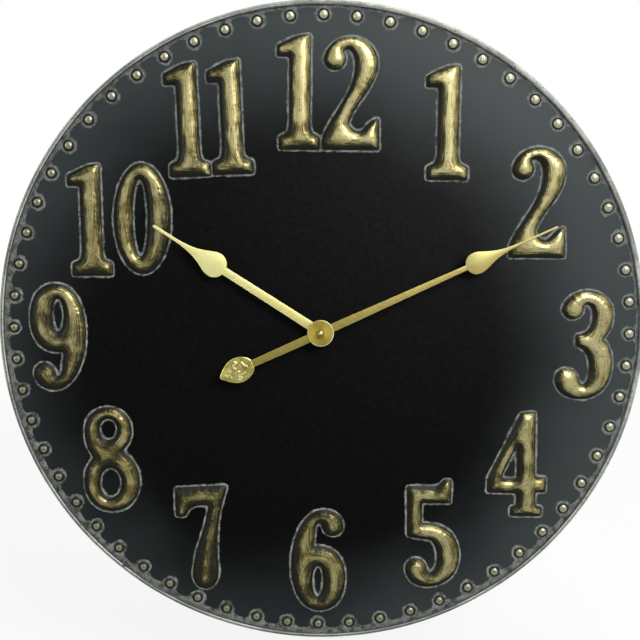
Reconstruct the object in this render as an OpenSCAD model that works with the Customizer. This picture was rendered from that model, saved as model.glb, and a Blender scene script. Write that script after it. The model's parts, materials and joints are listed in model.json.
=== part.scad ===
// Wall clock with an embossed sheet metal dial.
// Seen from the front, X is to the right and Z is up. The dial faces -Y and the wall is at y = 0.
// The origin is the middle of the round entry of the hanger's keyhole, on the wall plane.

/* [Body] */
// Outer diameter of the rim
clock_d = 600; // [560:1:640]
// Thickness of the dial and rim sheet
sheet_t = 0.8; // [0.5:0.1:1.2]
// Distance from the wall to the face of the dial
dial_depth = 28; // [27.5:0.1:32]
// Diameter of the rolled bead on the rim
bead_d = 4.4; // [3.5:0.1:6]
// Width of the flange at the back of the rim
flange_w = 9; // [7:0.5:14]
// Depth of the turned edge of the dial
dial_edge = 8; // [4:0.5:16]

/* [Numerals and studs] */
// Height that the numerals stand proud of the dial
numeral_rise = 5.5; // [4:0.1:6.5]
// Height of the lower step of a numeral
step_rise = 3; // [2:0.1:3.4]
// Width of the lower step of a numeral
step_w = 3; // [2:0.1:3.2]
// Distance from the edge of the clock in to the circle of studs
stud_margin = 13; // [12:0.5:16]
// Number of studs, one for each minute
stud_count = 60; // [12:12:60]
// Diameter of a stud at its foot
stud_d = 11; // [8:0.5:11]
// Height of a stud
stud_rise = 3; // [2:0.1:4]

/* [Hanger] */
// Distance from the top of the clock down to the keyhole
hanger_drop = 42; // [38:1:50]
// Diameter of the keyhole's round entry
keyhole_d = 10; // [8:0.5:12]
// Width of the keyhole's slot
slot_w = 4.5; // [3.5:0.1:5]
// Height from the round entry to the top of the slot
slot_up = 10; // [8:0.5:12]
// Thickness of the hanger bracket
bracket_t = 1.5; // [1:0.1:2]
// Width of the hanger bracket
bracket_w = 54; // [46:1:64]
// Diameter of a hanger rivet
rivet_d = 4; // [3:0.1:4.5]

/* [Hands] */
// Thickness of the hands
hand_t = 0.8; // [0.6:0.1:1.2]
// Height of the hour hand's face above the dial
hour_up = 13; // [13:0.1:15]
// Gap from the face of the hour hand to the back of the minute hand
hand_gap = 3.7; // [3.6:0.1:6]
// Length of the hour hand from the centre to its tip
hour_len = 182; // [170:1:190]
// Length of the minute hand from the centre to its tip
minute_len = 236; // [225:1:250]
// Length of the minute hand's tail
tail_len = 102; // [95:1:110]
// Angle of the hour hand, clockwise from twelve
hour_angle = 302.2; // [0:0.1:360]
// Angle of the minute hand, clockwise from twelve
minute_angle = 65; // [0:0.1:360]
// Diameter of the hub disc
hub_d = 24.4; // [20:0.1:28]
// Thickness of the hub disc
hub_t = 1; // [0.6:0.1:1.6]
// Diameter of the cap nut
cap_d = 5.7; // [5.2:0.1:8]
// Thickness of the tail weight
weight_t = 1.9; // [1.6:0.1:3]

/* [Movement] */
// Width and height of the movement case
case_w = 64; // [64:0.5:70]
// Depth of the movement case
case_d = 21.5; // [21.5:0.1:23]
// Wall of the movement case
case_wall = 1.4; // [1.2:0.1:1.8]
// Thickness of the rubber washer
rubber_t = 1.5; // [1:0.1:2]
// Diameter of the threaded centre bush
bush_d = 8; // [7.6:0.1:9]
// Length of the centre bush in front of the case
bush_len = 12; // [11:0.1:12.3]
// Diameter of the hour tube
hour_tube_d = 5.5; // [5.2:0.1:5.8]
// Diameter of the minute arbor
minute_arbor_d = 3.5; // [3.2:0.1:3.7]
// Width of the fixing nut across its flats
nut_flats = 12; // [11:0.5:14]
// Thickness of the fixing nut
nut_t = 2.5; // [2:0.1:3.5]
// Diameter of the setting knob
knob_d = 13; // [10:0.5:15]
// Height of the setting knob
knob_h = 2.2; // [1.5:0.1:2.5]
// Diameter of the battery cell
cell_d = 14.2; // [13.8:0.1:14.5]
// Length of the battery cell without its tip
cell_len = 49.2; // [48:0.1:49.5]

/* [Hidden] */
$fn = 96;

// Clearances: round a turning shaft, round a fixed one, at a seat, and round the bush where it passes a sheet
run_gap = 0.08;
fit_gap = 0.05;
seat_gap = 0.2;
pass_gap = 0.25;

// Depths along Y, negative towards the front
clock_r = clock_d / 2;
stud_circle_r = clock_r - stud_margin;
hanger_up = clock_r - hanger_drop;
face_y = -dial_depth;
dial_back_y = face_y + sheet_t;
bead_r = bead_d / 2;
bead_y = face_y - seat_gap - bead_r;
dial_r = clock_r - sheet_t - seat_gap;
case_front_y = dial_back_y + rubber_t;
case_back_y = case_front_y + case_d;
inner_front_y = case_front_y + case_wall;
inner_back_y = case_back_y - case_wall;
case_r = case_w / 2;
room = case_r - case_wall;
depth = inner_back_y - inner_front_y;
split_y = inner_front_y + depth * 0.6;
washer_t = 0.6;
washer_y = face_y - washer_t;
nut_y = washer_y - nut_t;
bush_tip_y = case_front_y - bush_len;
bush_r = bush_d / 2;
hour_tube_r = hour_tube_d / 2;
minute_arbor_r = minute_arbor_d / 2;
hour_back_y = face_y - hour_up + hand_t;
hour_face_y = face_y - hour_up;
minute_back_y = hour_face_y - hand_gap;
minute_face_y = minute_back_y - hand_t;
hub_face_y = minute_face_y - hub_t;
cap_r = cap_d / 2;
cap_cyl = cap_r + 0.1;

// Rotor, wheels and pinions: teeth, and modules that fill the room in the case
rotor_teeth = 6;
inter_teeth = 30;
inter_pinion = 8;
second_teeth = 48;
second_pinion = 8;
third_teeth = 60;
third_pinion = 8;
centre_teeth = 64;
cannon_teeth = 12;
motion_teeth = 36;
motion_pinion = 10;
hour_teeth = 40;
knob_teeth = 12;
rotor_mod = room / 76.5;
inter_mod = room / 69.5;
second_mod = room / 85;
third_mod = (second_pinion + third_teeth) * second_mod / (third_pinion + centre_teeth);
motion_mod = room / 76.5;
hour_mod = (cannon_teeth + motion_teeth) * motion_mod / (motion_pinion + hour_teeth);
arbor_r = 0.5;

// Where the arbors stand, seen from the front with the hands' axis at the middle
function polar(r, a) = [r * cos(a), r * sin(a)];
function centres(m, n1, n2) = m * (n1 + n2) / 2;
third_turn = 20;
inter_turn = 150;
rotor_turn = 110;
motion_turn = 200;
third_at = polar(centres(second_mod, second_pinion, third_teeth), third_turn);
inter_at = polar(centres(inter_mod, inter_pinion, second_teeth), inter_turn);
rotor_at = inter_at + polar(centres(rotor_mod, rotor_teeth, inter_teeth), rotor_turn);
motion_at = polar(centres(motion_mod, cannon_teeth, motion_teeth), motion_turn);
knob_at = motion_at + polar(centres(motion_mod, motion_teeth, knob_teeth), motion_turn);

// Layers of the gear train, each the front face of a wheel, that fill the depth of the case
wheel_t = depth / 15.6;
layer = depth / 37.4;
hour_wheel_y = inner_front_y + 0.6 * layer;
motion_wheel_y = hour_wheel_y + wheel_t + layer;
centre_wheel_y = motion_wheel_y + wheel_t + 0.8 * layer;
third_wheel_y = centre_wheel_y + wheel_t + 1.2 * layer;
second_wheel_y = third_wheel_y + wheel_t + 1.6 * layer;
inter_wheel_y = second_wheel_y + wheel_t + 1.6 * layer;
magnet_y = inter_wheel_y + wheel_t + 1.6 * layer;
core_y = inter_wheel_y + wheel_t + 0.1;
core_t = wheel_t;
stator_y = core_y + core_t;
plate_t = 1.4;
plate_y = inner_back_y - 2 * layer - plate_t;
board_t = 1;
board_y = plate_y - board_t - 2.8 * layer;

// Battery bay, and the rib between it and the train
bay_at = -room + seat_gap + cell_d / 2 + 0.3;
bay_y = inner_back_y - cell_d / 2 - 0.1;
rib_t = 1.2;
rib_at = bay_at + cell_d / 2 + 1.4;
rib_top = rib_at + rib_t;
tip_len = 1.3;

// Coil across the top of the case
coil_y = core_y + core_t / 2;
flange_t = 1;
flange_s = 2 * (plate_y - layer - coil_y);
coil_r = flange_s / 2 - 0.5;
coil_up = room - 6.1;
coil_len = room - 6.6;
coil_mid = 1;
core_w = 4;
core_half = room - 10.1;
screw_at = core_half - 2.2;

// Hanger
tab_y = -sheet_t;
panel_low = -15;
joggle_up = 2;
panel_high = sqrt(pow(clock_r - flange_w, 2) - pow(bracket_w / 2, 2)) - hanger_up - joggle_up - 0.5;
tab_high = clock_r - sheet_t - 4 - hanger_up;
rivet_x = 19;
rivet_up = clock_r - flange_w / 2 - 0.6;

// Helpers

// Moves the pieces from the middle of the dial to the origin at the keyhole
module hung() translate([0, 0, -hanger_up]) children();

// A flat piece seen from the front, from its front face at y back by t
module plate(y, t) translate([0, y + t, 0]) rotate([90, 0, 0]) linear_extrude(t) children();

// A turned piece round an axis along Y, from a profile of [radius, y]
module turned(at = [0, 0]) translate([at[0], 0, at[1]]) rotate([90, 0, 0])
    rotate_extrude() mirror([0, 1]) children();

// A round bar along Y
module bar(at, y0, y1, r) translate([at[0], y1, at[1]]) rotate([90, 0, 0]) cylinder(h = y1 - y0, r = r);

// A tube along Y
module pipe(at, y0, y1, r, bore) difference() {
    bar(at, y0, y1, r);
    bar(at, y0 - 1, y1 + 1, bore);
}

function unit(v) = v / norm(v);
function at_list(p, i) = p[(i + len(p)) % len(p)];

// Points moved in by d from a clockwise outline
function inset(p, d) = [for (i = [0 : len(p) - 1])
    let (u = unit(p[i] - at_list(p, i - 1)), v = unit(at_list(p, i + 1) - p[i]),
        a = [u[1], -u[0]], b = [v[1], -v[0]])
    p[i] + (a + b) * d / (1 + a * b)];

// An outline without the points that stand on the one before
function clean(p) = [for (i = [0 : len(p) - 1]) if (norm(p[i] - at_list(p, i - 1)) > 0.05) p[i]];

// A flat shape from a clockwise outline
module shape(p) polygon([for (i = [len(p) - 1 : -1 : 0]) p[i]]);

// Curve with two handles, without its last point
function bend(a, b, c, d, n = 5) = [for (i = [0 : n - 1])
    let (t = i / n, s = 1 - t)
    s * s * s * a + 3 * s * s * t * b + 3 * s * t * t * c + t * t * t * d];

// Arc of an ellipse from angle a0 to a1, with its last point
function arc(c, rx, rz, a0, a1, n) = [for (i = [0 : n])
    let (a = a0 + (a1 - a0) * i / n)
    c + [rx * cos(a), rz * sin(a)]];

// Numerals: each is a list of clockwise outlines, the outer one first, from its own lower left corner

one = [[[0, 83], [0, 93.5], [19, 102.5], [31, 103.5],
    [31, 21], [32.7, 15.5], [40, 12.3], [40, 0], [2, 0], [2, 12.3], [9.5, 15.5], [11.3, 21], [11.3, 83]]];

two = [clean(concat(arc([25.5, 78.5], 25, 23, 168, 0, 10),
    bend([50.5, 78.5], [50.5, 55], [30, 45], [24, 24], 6),
    bend([24, 24], [28, 17.5], [35, 13], [40, 22], 4),
    [[40, 22], [44.5, 27], [51.8, 29.3], [52.5, 0], [0, 0]],
    bend([0, 11.5], [8, 32], [29.5, 52], [29.5, 76], 6),
    bend([29.5, 76], [29.5, 88], [23, 93], [18.4, 89.1], 4),
    arc([11, 81.5], 10.5, 10.5, 45, -172, 8)))];

three = [clean(concat(arc([28.5, 81], 24.5, 22.5, 168, 0, 10),
    bend([53, 81], [53, 70], [50, 63], [45, 58.5], 3),
    bend([45, 58.5], [51, 52], [54, 44], [54, 33], 4),
    bend([54, 33], [54, 12], [42, 0], [25, 0], 5),
    bend([25, 0], [10, 0], [0.4, 8], [0, 19], 4),
    arc([11.5, 19], 11.5, 11.5, 180, 20, 6),
    bend([23, 19], [24, 13.5], [28.5, 12.5], [31, 19], 3),
    bend([31, 19], [33.5, 28], [33.5, 49.5], [20, 50.3], 5),
    [[18.5, 51], [18.5, 62]],
    bend([22.5, 62.5], [30, 63.5], [34, 70], [33.5, 79], 4),
    bend([33.5, 79], [33.5, 88], [30, 91.5], [25, 90], 4),
    arc([15, 86], 10.5, 10.5, 18, -165, 7)))];

four = [[[0, 22.5], [0, 36.5], [27, 95], [30, 101.5], [44, 102], [45.5, 39], [56, 39], [56, 23.5],
    [46.5, 23.5], [46.5, 11], [53, 9.5], [53, 0], [22.5, 0], [22.5, 9.5], [28, 11], [28, 22.5]],
    [[27.3, 69], [27.8, 37.5], [13.5, 37.5]]];

five = [clean(concat([[2, 51], [1, 100.5], [30, 100.5], [37, 107.5], [43.5, 107], [43.5, 83.5], [16, 83.5]],
    bend([16, 64], [36, 67], [53, 54], [53, 32], 6),
    bend([53, 32], [53, 10], [38, 0], [22, 0], 5),
    bend([22, 0], [10, 0], [0.5, 8], [0.5, 19], 4),
    arc([11, 19], 10.5, 10.5, 180, 25, 6),
    bend([21, 20.5], [21, 14.5], [26, 13], [29, 18], 3),
    bend([29, 18], [33.5, 27], [32.5, 49.5], [18, 49.5], 5),
    [[8, 49.3]]))];

six = [clean(concat(bend([22, 65], [40, 69], [53, 55], [53, 34], 6),
    bend([53, 34], [53, 12], [43, 0], [28, 0], 5),
    bend([28, 0], [10, 0], [0, 20], [0, 46], 6),
    bend([0, 46], [0, 75], [12, 102], [32, 102], 6),
    bend([32, 102], [43, 102], [50.5, 94], [50.5, 85.5], 4),
    arc([40, 85.5], 10.5, 10.5, 0, -168, 7),
    bend([28.6, 88], [26, 88.5], [23.5, 86.5], [22.6, 79], 3))),
    arc([26.2, 30.2], 5.3, 15.8, 345, 0, 11)];

seven = [clean(concat([[1, 72], [0.5, 101], [50, 104]],
    bend([50, 99], [42, 78], [39, 50], [42.5, 18], 6),
    bend([42.5, 18], [43, 8], [37, 0], [29, 0], 4),
    bend([29, 0], [20, 0], [15.5, 9], [17.3, 20], 4),
    bend([17.3, 20], [19, 42], [30, 60], [32.5, 83.5], 5),
    bend([32.5, 83.5], [20, 84], [14, 83], [10.5, 72], 4),
    [[10.5, 72]]))];

eight = [clean(concat(bend([1, 79.5], [1, 93], [11, 102.5], [24, 102.5], 4),
    bend([24, 102.5], [37, 102.5], [46.5, 93], [46.5, 80.5], 4),
    bend([46.5, 80.5], [46.5, 71], [43, 65], [37.5, 60], 3),
    bend([37.5, 60], [48, 53], [53.5, 42], [53.5, 29.5], 4),
    bend([53.5, 29.5], [53.5, 12], [42, 0], [26.5, 0], 5),
    bend([26.5, 0], [10, 0], [0, 12], [0, 29.5], 5),
    bend([0, 29.5], [0, 40], [3, 47], [9, 53], 3),
    bend([9, 53], [3, 60], [1, 69], [1, 79.5], 3))),
    arc([24, 80.5], 8.5, 10.5, 330, 0, 11),
    arc([25.5, 28.5], 10.5, 14.8, 330, 0, 11)];

zero = [arc([26.75, 51.75], 26.75, 51.75, 345, 0, 23), arc([24.8, 52.5], 6.75, 36, 345, 0, 15)];

// Each numeral's outlines, how far its middle stands in from the studs, its angle from twelve, and its turn
numerals = [
    [one, 67.8, 354.16, 0], [two, 68.3, 6.71, 0], [one, 64.4, 30.44, 0], [two, 55.1, 58.73, 0],
    [three, 41.2, 92.64, 0], [four, 61.5, 123.97, 0], [five, 63.5, 150.88, 0], [six, 63.5, 180.13, 0],
    [seven, 55.4, 209.28, 0], [eight, 52.4, 237.44, 0], [six, 40.8, 267.9, 180],
    [one, 50.4, 295.17, 1], [zero, 92.3, 301.67, 0], [one, 58, 327.23, 2.5], [one, 74.3, 336.54, 2.5]];
function low(p, k) = min([for (q = p) q[k]]);
function high(p, k) = max([for (q = p) q[k]]);
function middle(p) = [for (k = [0, 1]) (low(p, k) + high(p, k)) / 2];

// One numeral's outline at an inset of d from its foot
module numeral(outlines, d) difference() {
    shape(inset(outlines[0], d));
    for (i = [1 : 1 : len(outlines) - 1]) shape(inset(outlines[i], -d));
}

// All numerals as prisms from y back by t
module numeral_prisms(y, t, d) for (n = numerals)
    plate(y, t) translate(polar(stud_circle_r - n[1], 90 - n[2])) rotate(n[3])
        translate(-middle(n[0][0])) numeral(n[0], d);

stud_r = stud_d / 2;
dome_r = (stud_r * stud_r + stud_rise * stud_rise) / (2 * stud_rise);
dome_y = face_y - stud_rise + dome_r;

// The studs as caps of spheres, from y back to the foot
module stud_caps(r, foot) for (i = [0 : stud_count - 1]) rotate([0, i * 360 / stud_count, 0])
    translate([0, dome_y, stud_circle_r]) rotate([90, 0, 0]) rotate_extrude($fn = 32) intersection() {
        circle(r = r, $fn = 48);
        translate([0, dome_y - foot]) square(2 * r);
    }

// Gear outline with n teeth of module m, one tooth pointing to the angle turn
add_k = 0.75;
ded_k = 1.1;
function gear_points(n, m, turn) =
    let (r = n * m / 2, p = 360 / n)
    [for (i = [0 : n - 1]) for (k = [[-0.26, -ded_k], [-0.1, add_k], [0.1, add_k], [0.26, -ded_k]])
        polar(r + k[1] * m, turn + (i + k[0]) * p)];
module gear(y, t, at, n, m, turn) plate(y, t) translate(at) polygon(gear_points(n, m, turn));

// Turn of a gear with n2 teeth that meshes with a gear of n1 teeth turned to t1, towards the angle phi
function mesh_turn(n1, n2, phi, t1) = phi + 180 - 360 / n2 * (0.5 - (phi - t1) * n1 / 360);

second_turn = mesh_turn(inter_pinion, second_teeth, inter_turn + 180, 0);
inter_wheel_turn = mesh_turn(rotor_teeth, inter_teeth, rotor_turn + 180, 0);
third_wheel_turn = mesh_turn(second_pinion, third_teeth, third_turn, 0);
centre_wheel_turn = mesh_turn(third_pinion, centre_teeth, third_turn + 180, 0);
motion_wheel_turn = mesh_turn(cannon_teeth, motion_teeth, motion_turn, 0);
knob_turn = mesh_turn(motion_teeth, knob_teeth, motion_turn, motion_wheel_turn);
hour_wheel_turn = mesh_turn(motion_pinion, hour_teeth, motion_turn + 180, 0);

// Body

module dial_plate() color([0.1, 0.11, 0.1]) hung() difference() {
    union() {
        bar([0, 0], face_y, dial_back_y, dial_r);
        turned() translate([dial_r - sheet_t, face_y]) square([sheet_t, dial_edge]);
        numeral_prisms(face_y - step_rise, step_rise + sheet_t / 2, 0);
        numeral_prisms(face_y - numeral_rise, numeral_rise + sheet_t / 4, step_w);
        stud_caps(dome_r, face_y + sheet_t / 2);
    }
    numeral_prisms(face_y - step_rise + sheet_t, step_rise + 1, sheet_t);
    numeral_prisms(face_y - numeral_rise + sheet_t, numeral_rise - step_rise + 0.5, step_w + sheet_t);
    stud_caps(dome_r - sheet_t, dial_back_y + 1);
    bar([0, 0], face_y - 1, dial_back_y + 1, bush_r + pass_gap);
}

module rim_band() color([0.55, 0.55, 0.52]) hung() difference() {
    turned() union() {
        translate([clock_r - bead_r, bead_y]) circle(r = bead_r, $fn = 40);
        translate([clock_r - sheet_t, bead_y]) square([sheet_t, -bead_y]);
        translate([clock_r - flange_w, -sheet_t]) square([flange_w, sheet_t]);
    }
    for (s = [-1, 1]) turned([s * rivet_x, rivet_up]) rivet_hole_profile();
}

// Hole in the rim's flange with a countersink at the back
module rivet_hole_profile() {
    r = rivet_d / 2 + fit_gap;
    polygon([[0, -2], [r, -2], [r, -sheet_t * 0.6], [r + sheet_t * 0.6 + 1, 1], [0, 1]]);
}

module hanger_bracket() color([0.62, 0.62, 0.6]) difference() {
    translate([-bracket_w / 2, 0, 0]) rotate([90, 0, 90]) linear_extrude(bracket_w)
        polygon([[0, panel_low], [0, panel_high], [tab_y, panel_high + joggle_up], [tab_y, tab_high],
            [tab_y - bracket_t, tab_high], [tab_y - bracket_t, panel_high + 1.2],
            [-bracket_t, panel_high - 0.8], [-bracket_t, panel_low]]);
    bar([0, 0], -bracket_t - 1, 1, keyhole_d / 2);
    plate(-bracket_t - 1, bracket_t + 2) translate([-slot_w / 2, 0]) square([slot_w, slot_up - slot_w / 2]);
    bar([0, slot_up - slot_w / 2], -bracket_t - 1, 1, slot_w / 2);
    for (s = [-1, 1])
        bar([s * rivet_x, rivet_up - hanger_up], tab_y - bracket_t - 1, 1, rivet_d / 2 + fit_gap);
}

module hanger_rivets() color([0.7, 0.7, 0.68]) hung() for (s = [-1, 1])
    turned([s * rivet_x, rivet_up]) rivet_profile();

// Rivet with a round head in front and a countersunk head behind
module rivet_profile() {
    front = tab_y - bracket_t;
    polygon([[0, front - 1.6], [rivet_d * 0.4, front - 1.4], [rivet_d * 0.72, front - 0.7],
        [rivet_d * 0.8, front], [rivet_d / 2, front], [rivet_d / 2, -sheet_t * 0.6],
        [rivet_d / 2 + sheet_t * 0.6, 0], [0, 0]]);
}

// Fixing of the movement

module rubber_washer() color([0.12, 0.12, 0.12]) hung()
    pipe([0, 0], dial_back_y, case_front_y, 10, bush_r + pass_gap);

module front_washer() color([0.78, 0.66, 0.36]) hung()
    pipe([0, 0], washer_y, face_y, 8.5, bush_r + pass_gap);

module fixing_nut() color([0.78, 0.66, 0.36]) hung() difference() {
    plate(nut_y, nut_t) circle(r = nut_flats / 2 / cos(30), $fn = 6);
    bar([0, 0], nut_y - 1, washer_y + 1, bush_r + fit_gap);
}

collar_r = bush_r + 1.6;
module centre_bush() color([0.8, 0.68, 0.38]) hung() difference() {
    union() {
        bar([0, 0], bush_tip_y, inner_front_y, bush_r);
        bar([0, 0], case_front_y, inner_front_y, collar_r);
    }
    bar([0, 0], bush_tip_y - 1, inner_front_y + 1, hour_tube_r + run_gap);
}

// Hands

// Spade and needle of a hand that points up: neck, widest place, tip
function blade_side(neck, neck_w, wide, wide_w, tip_w) = concat(
    bend([-neck_w / 2, neck], [-wide_w * 0.36, neck + 1.5],
        [-wide_w / 2, wide - 5.5], [-wide_w / 2, wide], 6),
    bend([-wide_w / 2, wide], [-wide_w / 2, wide + 9],
        [-tip_w / 2, wide + 14], [-tip_w / 2, wide + 44], 9));
function mirrored(p) = [for (i = [len(p) - 1 : -1 : 0]) [-p[i][0], p[i][1]]];
module blade(neck, root_w, neck_w, wide, wide_w, tip, tip_w) {
    side = concat([[-root_w / 2, 0]], blade_side(neck, neck_w, wide, wide_w, tip_w),
        [[-tip_w / 2, wide + 44]]);
    shape(clean(concat(side, arc([0, tip - tip_w / 2], tip_w / 2, tip_w / 2, 180, 0, 6), mirrored(side))));
}

hour_collar_r = 5;
hour_neck_r = hour_tube_r + 0.9;
minute_collar_r = 4.2;
minute_neck_r = minute_arbor_r + 0.9;
eye_r = 8;

module hour_hand() color([0.88, 0.85, 0.5]) hung() difference() {
    plate(hour_face_y, hand_t) rotate(-hour_angle) union() {
        blade(105, 8.6, 7.4, 116, 23.5, hour_len, 2.7);
        circle(r = eye_r);
    }
    bar([0, 0], hour_face_y - 1, hour_back_y + 1, hour_neck_r + fit_gap);
}

module hour_hand_bush() color([0.8, 0.68, 0.38]) hung() turned() polygon([
    [hour_tube_r + fit_gap, hour_face_y - 0.4], [hour_neck_r + 0.5, hour_face_y - 0.4],
    [hour_neck_r + 0.5, hour_face_y], [hour_neck_r, hour_face_y], [hour_neck_r, hour_back_y],
    [hour_collar_r, hour_back_y], [hour_collar_r, bush_tip_y - 0.6],
    [hour_tube_r + fit_gap, bush_tip_y - 0.6]]);

tail_neck = 66;
module minute_hand() color([0.74, 0.62, 0.34]) hung() difference() {
    plate(minute_face_y, hand_t) rotate(-minute_angle) union() {
        blade(146, 8.2, 4.5, 156.5, 20, minute_len, 1.8);
        shape([[-3.9, 0], [3.9, 0], [3.4, -tail_neck - 9], [-3.4, -tail_neck - 9]]);
        circle(r = eye_r);
    }
    bar([0, 0], minute_face_y - 1, minute_back_y + 1, minute_neck_r + fit_gap);
}

module minute_hand_bush() color([0.8, 0.68, 0.38]) hung() turned() polygon([
    [minute_arbor_r + fit_gap, minute_face_y], [minute_neck_r, minute_face_y], [minute_neck_r, minute_back_y],
    [minute_collar_r, minute_back_y], [minute_collar_r, hour_face_y - 1.6],
    [minute_arbor_r + fit_gap, hour_face_y - 1.6]]);

// Teardrop that is soldered over the end of the tail arm
weight_w = 23.7;
weight_wide = 84;
weight_top = 69;
weight_step = 2;
function drop_side(w) = concat(
    bend([3.8, -weight_top], [7, -weight_top - 1], [w / 2, -weight_wide + 9], [w / 2, -weight_wide], 6),
    bend([w / 2, -weight_wide], [w / 2, -weight_wide - 7], [5, -tail_len + 4], [1, -tail_len], 6));
drop_right = concat(drop_side(weight_w), [[1, -tail_len]]);
drop = concat(drop_right, mirrored(drop_right));

module tail_weight() color([0.72, 0.66, 0.36]) hung() difference() {
    union() {
        plate(minute_face_y - (weight_t - hand_t) * 0.55, weight_t - (weight_t - hand_t) * 0.45)
            rotate(-minute_angle) shape(drop);
        plate(minute_face_y - (weight_t - hand_t), weight_t)
            rotate(-minute_angle) shape(inset(drop, weight_step));
    }
    plate(minute_face_y - fit_gap, hand_t + 2) rotate(-minute_angle)
        translate([-4, -tail_neck - 9 - seat_gap]) square([8, 30]);
}

module hub_disc() color([0.75, 0.65, 0.36]) hung() difference() {
    bar([0, 0], hub_face_y, minute_face_y, hub_d / 2);
    bar([0, 0], hub_face_y - 1, minute_face_y + 1, thread_r + fit_gap);
}

thread_r = 1.4;
module cap_nut() color([0.8, 0.7, 0.4]) hung() difference() {
    union() {
        bar([0, 0], hub_face_y - cap_cyl, hub_face_y, cap_r);
        translate([0, hub_face_y - cap_cyl, 0]) rotate([90, 0, 0]) sphere(r = cap_r);
    }
    bar([0, 0], hub_face_y - cap_cyl - 0.4, hub_face_y + 1, thread_r + fit_gap);
}

// Movement case

post_r = 1.7;
pin_r = 0.9;
post_up = rib_top + post_r + 0.15;
plate_posts = [[7.1 - room, coil_up - 6], [7.1 - room, post_up], [third_at[0], post_up]];
board_left = room * 0.49;
board_posts = [[board_left + 2, rib_top + 2.5], [room - 3.6, coil_up - 12.5]];
module case_outline(r = case_r) translate([-r, -r]) square(2 * r);

// Boss that holds the front pivot of an arbor
module pivot_boss(at, y, r = 1, hole = arbor_r + run_gap) difference() {
    bar(at, inner_front_y - 0.5, y, r);
    bar(at, y - 1.5, y + 1, hole);
}

// The rib above the battery bay, between two depths
module bay_rib(y0, y1) plate(y0, y1 - y0) translate([-room - 0.5, rib_at]) square([2 * room + 1, rib_t]);

module movement_case_front() color([0.1, 0.1, 0.11]) hung() {
    difference() {
        plate(case_front_y, split_y - case_front_y) case_outline();
        plate(inner_front_y, depth) case_outline(room);
        bar([0, 0], case_front_y - 1, inner_front_y + 1, collar_r + fit_gap);
    }
    bay_rib(inner_front_y - 0.5, split_y);
    pivot_boss(third_at, centre_wheel_y - 0.5);
    pivot_boss(inter_at, second_wheel_y - 0.5);
    pivot_boss(rotor_at, inter_wheel_y - 0.6);
    pivot_boss(knob_at, motion_wheel_y - 0.6, 2, knob_pivot_r + run_gap);
    bar(motion_at, inner_front_y - 0.5, centre_wheel_y - 0.3, motion_post_r);
    for (p = plate_posts) {
        bar(p, inner_front_y - 0.5, plate_y, post_r);
        bar(p, inner_front_y, plate_y + plate_t - 0.2, pin_r);
    }
    for (p = board_posts) bar(p, inner_front_y - 0.5, board_y, post_r);
    for (s = [-1, 1]) difference() {
        bar([coil_mid + s * screw_at, coil_up], inner_front_y - 0.5, core_y, 2);
        bar([coil_mid + s * screw_at, coil_up], core_y - 5, core_y + 1, 0.9);
    }
}

knob_shaft_r = 1.2;
knob_pivot_r = 1.1;
motion_post_r = 0.6;
clutch_r = 1.2;
bay_half = room - 2.8;
module movement_case_back() color([0.11, 0.11, 0.12]) hung() {
    difference() {
        plate(split_y, case_back_y - split_y) case_outline();
        plate(inner_front_y, depth) case_outline(room);
        plate(inner_back_y - 1, case_wall + 2) translate([-bay_half, bay_at - cell_d / 2 - seat_gap])
            square([2 * bay_half, cell_d + 2 * seat_gap]);
        bar(knob_at, inner_back_y - 1, case_back_y + 1, knob_shaft_r + 0.6);
    }
    bay_rib(split_y, inner_back_y + 0.5);
}

module gear_plate() color([0.85, 0.85, 0.82]) hung() difference() {
    plate(plate_y, plate_t) polygon([[4.1 - room, rib_top + 0.15], [third_at[0] + 2.5, rib_top + 0.15],
        [third_at[0] + 2.5, coil_up - 6], [rotor_at[0] - 1.9, coil_up - 3.5], [4.1 - room, coil_up - 3.5]]);
    for (p = [[0, 0], third_at, inter_at, rotor_at])
        bar(p, plate_y - 1, plate_y + plate_t + 1, arbor_r + run_gap);
    for (p = plate_posts) bar(p, plate_y - 1, plate_y + plate_t + 1, pin_r + 0.1);
    bar(knob_at, plate_y - 1, plate_y + plate_t + 1, knob_shaft_r + run_gap);
}

// Motion work

tube_bore_r = minute_arbor_r + run_gap;
module hour_wheel() color([0.82, 0.7, 0.4]) hung() difference() {
    union() {
        gear(hour_wheel_y, wheel_t, [0, 0], hour_teeth, hour_mod, hour_wheel_turn);
        bar([0, 0], hour_face_y - 0.8, hour_wheel_y + wheel_t, hour_tube_r);
    }
    bar([0, 0], hour_face_y - 2, hour_wheel_y + wheel_t + 1, tube_bore_r);
}

module motion_wheel() color([0.9, 0.88, 0.8]) hung() difference() {
    union() {
        gear(hour_wheel_y - 0.1, motion_wheel_y - hour_wheel_y + 0.2, motion_at, motion_pinion, hour_mod, 0);
        gear(motion_wheel_y, wheel_t, motion_at, motion_teeth, motion_mod, motion_wheel_turn);
    }
    bar(motion_at, inner_front_y, centre_wheel_y, motion_post_r + run_gap);
}

module minute_arbor() color([0.75, 0.75, 0.73]) hung() difference() {
    union() {
        bar([0, 0], minute_face_y, motion_wheel_y + wheel_t, minute_arbor_r);
        bar([0, 0], hub_face_y - cap_cyl, minute_face_y, thread_r);
        gear(motion_wheel_y, wheel_t, [0, 0], cannon_teeth, motion_mod, 0);
        bar([0, 0], motion_wheel_y, third_wheel_y - 0.3, clutch_r);
    }
    bar([0, 0], case_front_y, third_wheel_y + 1, arbor_r + run_gap);
}

knob_ribs = 20;
module setting_knob() color([0.16, 0.16, 0.17]) hung() {
    plate(case_back_y + 0.2, knob_h) translate(knob_at) polygon([for (i = [0 : 2 * knob_ribs - 1])
        polar(knob_d / 2 - (i % 2) * 0.5, i * 180 / knob_ribs)]);
    bar(knob_at, motion_wheel_y, case_back_y + 0.3, knob_shaft_r);
    gear(motion_wheel_y, wheel_t, knob_at, knob_teeth, motion_mod, knob_turn);
    bar(knob_at, motion_wheel_y - 1.6, motion_wheel_y + 0.1, knob_pivot_r);
}

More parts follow.
